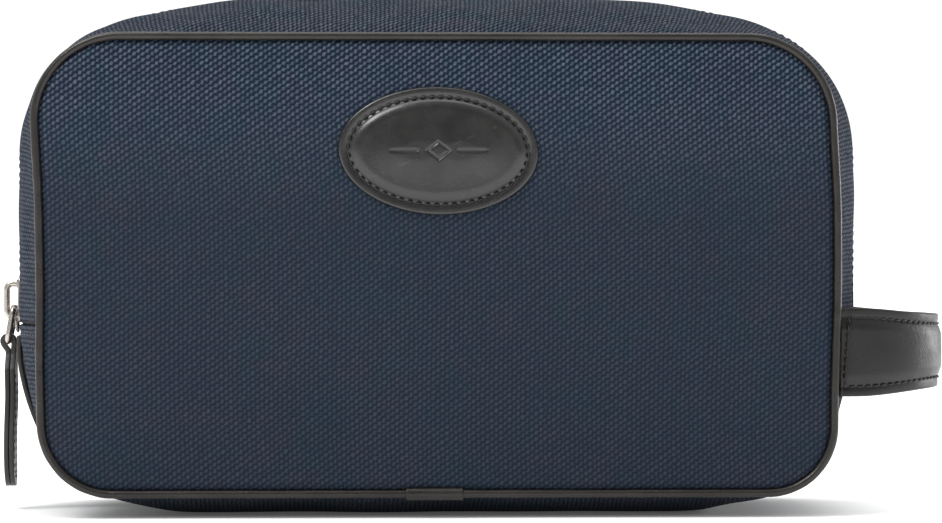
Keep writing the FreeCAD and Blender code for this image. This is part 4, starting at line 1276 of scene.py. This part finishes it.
def slider():
    """The zip's slider: an outer channel, an inner plate, the post between, a nose and a crown foot."""
    bottom, top, face, inner = SLIDER_BOTTOM, SLIDER_TOP, SLIDER_FACE, SLIDER_INNER

    def inner_width(z):
        return SLIDER_HALF * (1 - 0.2 * float(smoothstep(bottom + 4, top, z)))

    def post_width(z):
        return 0.45 + 0.5 * math.sin((z - bottom - 1) / 4 * math.pi)

    def nose_width(z):
        return 2.6 - 0.5 * float(smoothstep(bottom - 1, bottom - 3.2, z))

    def nose_face(z):
        return face + 1.05 - 0.5 * float(smoothstep(bottom - 1.5, bottom - 3.2, z))

    parts = (
        slider_plate(),
        lofted(graded(bottom, top, 0.8), inner_width, lambda z: inner - 1.0, lambda z: inner),
        lofted(graded(bottom + 1.0, bottom + 5.0, 0.5), post_width,
               lambda z: inner - 0.05, lambda z: face - 1.0, power=0.8),
        lofted(graded(bottom - 3.2, bottom + 0.8, 0.4), nose_width,
               lambda z: face - 0.2, nose_face, power=0.5),
        lofted(graded(CROWN_HIGH - 1.4, CROWN_HIGH + 1.4, 0.3), lambda z: 1.45,
               lambda z: face - 0.1, lambda z: face + 0.65, power=0.6),
    )
    faces, base = [], 0
    for verts, some in parts:
        faces.extend(tuple(i + base for i in f) for f in some)
        base += len(verts)
    piece = new_mesh("slider_body", np.concatenate([verts for verts, _ in parts]), faces)
    dress(piece, NICKEL, "slider", ["zip_slider"])


slider()
for name in ("slider_crown", "pull_link"):
    for slot in frame["nodes"][name].material_slots:
        slot.material = NICKEL


# ---- inner pocket ----

def pocket_sheet(name, x, z, y, thick, node):
    """An upright sheet of lining cloth at a depth y."""
    grid = np.stack(np.broadcast_arrays(x[None, :], y, z[:, None]), -1).astype(float)
    normals = np.zeros_like(grid)
    normals[..., 1] = -1.0
    piece = slab(name, grid, normals, rounded_half(z, x, thick / 2), grid[..., [0, 2]])
    return dress(piece, LINING_CLOTH, "bag", [node])


def pocket():
    """A slip pocket that sags open a little, with a bound upper edge."""
    low, high = box_mm("inner_pocket")
    x = graded(low[0], high[0], 2.4)
    z = graded(low[2], high[2], 2.4)
    side = smoothstep(0, 10, np.minimum(x - x[0], x[-1] - x))[None, :]

    def depth(height):
        sag = 1.4 * side * smoothstep(8, 60, height - z[0])[:, None]
        return high[1] - 0.3 - sag + 0.25 * ripple(x[None, :], height[:, None], 30.0, 81) * side

    piece = pocket_sheet("pocket_cloth", x, z, depth(z), LINING, "inner_pocket")
    edge_z = graded(z[-1] - 0.6, box_mm("pocket_binding")[1][2], 0.5, fine=(0.0, 0.1, 0.25, 0.45))
    pocket_sheet("pocket_edge", x, edge_z, depth(z[-1:]), 1.5, "pocket_binding")


pocket()


# ---- stage, light and camera ----

FRONT_LIGHT = 0.33
ROOM_LIGHT = 0.85
BACKDROP = 1.1
FLOOR_REACH = 45000.0
FLOOR_HEIGHT = -0.2
LIGHTS = (
    ("key", (-0.6, -0.5, 1.1), (0, 0, 0.08), 0.55, 10.0),
    ("top", (0.0, 0.1, 1.3), (0, 0, 0.08), 0.9, 6.0),
    ("side", (1.2, 0.6, 0.25), (0.15, 0, 0.05), 0.45, 4.5),
)


def surround():
    """A white room that is dimmer in front of the bag, behind the camera; it shows as plain white."""
    world = bpy.data.worlds.new("studio")
    world.use_nodes = True
    bpy.context.scene.world = world
    tree = world.node_tree
    place = tree.nodes.new("ShaderNodeTexCoord")
    split = tree.nodes.new("ShaderNodeSeparateXYZ")
    tree.links.new(place.outputs["Generated"], split.inputs[0])
    dim = tree.nodes.new("ShaderNodeMapRange")
    dim.interpolation_type = "SMOOTHSTEP"
    for index, value in ((1, -1.0), (2, -0.2), (3, FRONT_LIGHT), (4, ROOM_LIGHT)):
        dim.inputs[index].default_value = value
    tree.links.new(split.outputs[1], dim.inputs[0])
    seen = tree.nodes.new("ShaderNodeLightPath")
    choose = tree.nodes.new("ShaderNodeMix")
    tree.links.new(seen.outputs["Is Camera Ray"], choose.inputs[0])
    tree.links.new(dim.outputs[0], choose.inputs[2])
    choose.inputs[3].default_value = BACKDROP
    background = tree.nodes["Background"]
    background.inputs["Color"].default_value = (1.0, 1.0, 1.0, 1.0)
    tree.links.new(choose.outputs[0], background.inputs["Strength"])


def pale_floor():
    """A white floor that glows, painted light: faintly at the bag's footprint and brighter from a few
    centimetres off, which fades the bag's cast shadow and lights its underside, and more and more further
    away, so that its edge can't be seen.
    """
    look = Finish("pale_floor", roughness=0.9, specular=0.0)
    look.colour(look.mix(look.noise(3.0), (0.86, 0.86, 0.86, 1), (0.88, 0.88, 0.88, 1)))
    away = look.add("ShaderNodeVectorMath", {0: look.place}, operation="ABSOLUTE").outputs[0]
    steps = (("SUBTRACT", (0.09, 0.02, 0.0)), ("MAXIMUM", (0.0, 0.0, 0.0)), ("MULTIPLY", (1.0, 1.0, 0.0)))
    for operation, value in steps:
        away = look.add("ShaderNodeVectorMath", {0: away, 1: value}, operation=operation).outputs[0]
    away = look.add("ShaderNodeVectorMath", {0: away}, operation="LENGTH").outputs["Value"]
    # Painted light: the glow rises from 0.05 at the bag's footprint to 0.62 at 7 cm off, then adds up to 0.5
    # more from 0.5 m to 3 m.
    painted_floor_glow = look.plus(look.between(away, 0.005, 0.07, 0.05, 0.62), look.between(away, 0.5, 3.0, 0.0, 0.5))
    look.shader.inputs["Emission Color"].default_value = (1.0, 1.0, 1.0, 1.0)
    look.tree.links.new(painted_floor_glow, look.shader.inputs["Emission Strength"])
    return look.material


def stage():
    """A pale floor, a pale surround and soft lights."""
    corners = ((-1, -1), (1, -1), (1, 1), (-1, 1))
    points = [(x * FLOOR_REACH, y * FLOOR_REACH, FLOOR_HEIGHT) for x, y in corners]
    ground = new_mesh("floor", points, [(0, 1, 2, 3)])
    ground.data.materials.append(pale_floor())
    surround()
    for name, place, target, size_m, power in LIGHTS:
        data = bpy.data.lights.new(name, "AREA")
        data.energy = power
        data.size = size_m
        lamp = bpy.data.objects.new(name, data)
        lamp.location = place
        lamp.rotation_euler = (Vector(target) - Vector(place)).to_track_quat("-Z", "Y").to_euler()
        bpy.context.scene.collection.objects.link(lamp)


def camera():
    """A long lens straight in front of the bag, a little to its left."""
    data = bpy.data.cameras.new("camera")
    data.lens = 142.5
    data.sensor_width = 36.0
    data.clip_end = 100.0
    view = bpy.data.objects.new("camera", data)
    view.location = (-0.030, -1.146, 0.0756)
    aim = Vector((0.0093, -0.046, 0.0756)) - view.location
    view.rotation_euler = aim.to_track_quat("-Z", "Y").to_euler()
    bpy.context.scene.collection.objects.link(view)
    bpy.context.scene.camera = view
    bpy.context.scene.view_settings.view_transform = "Standard"


stage()
camera()
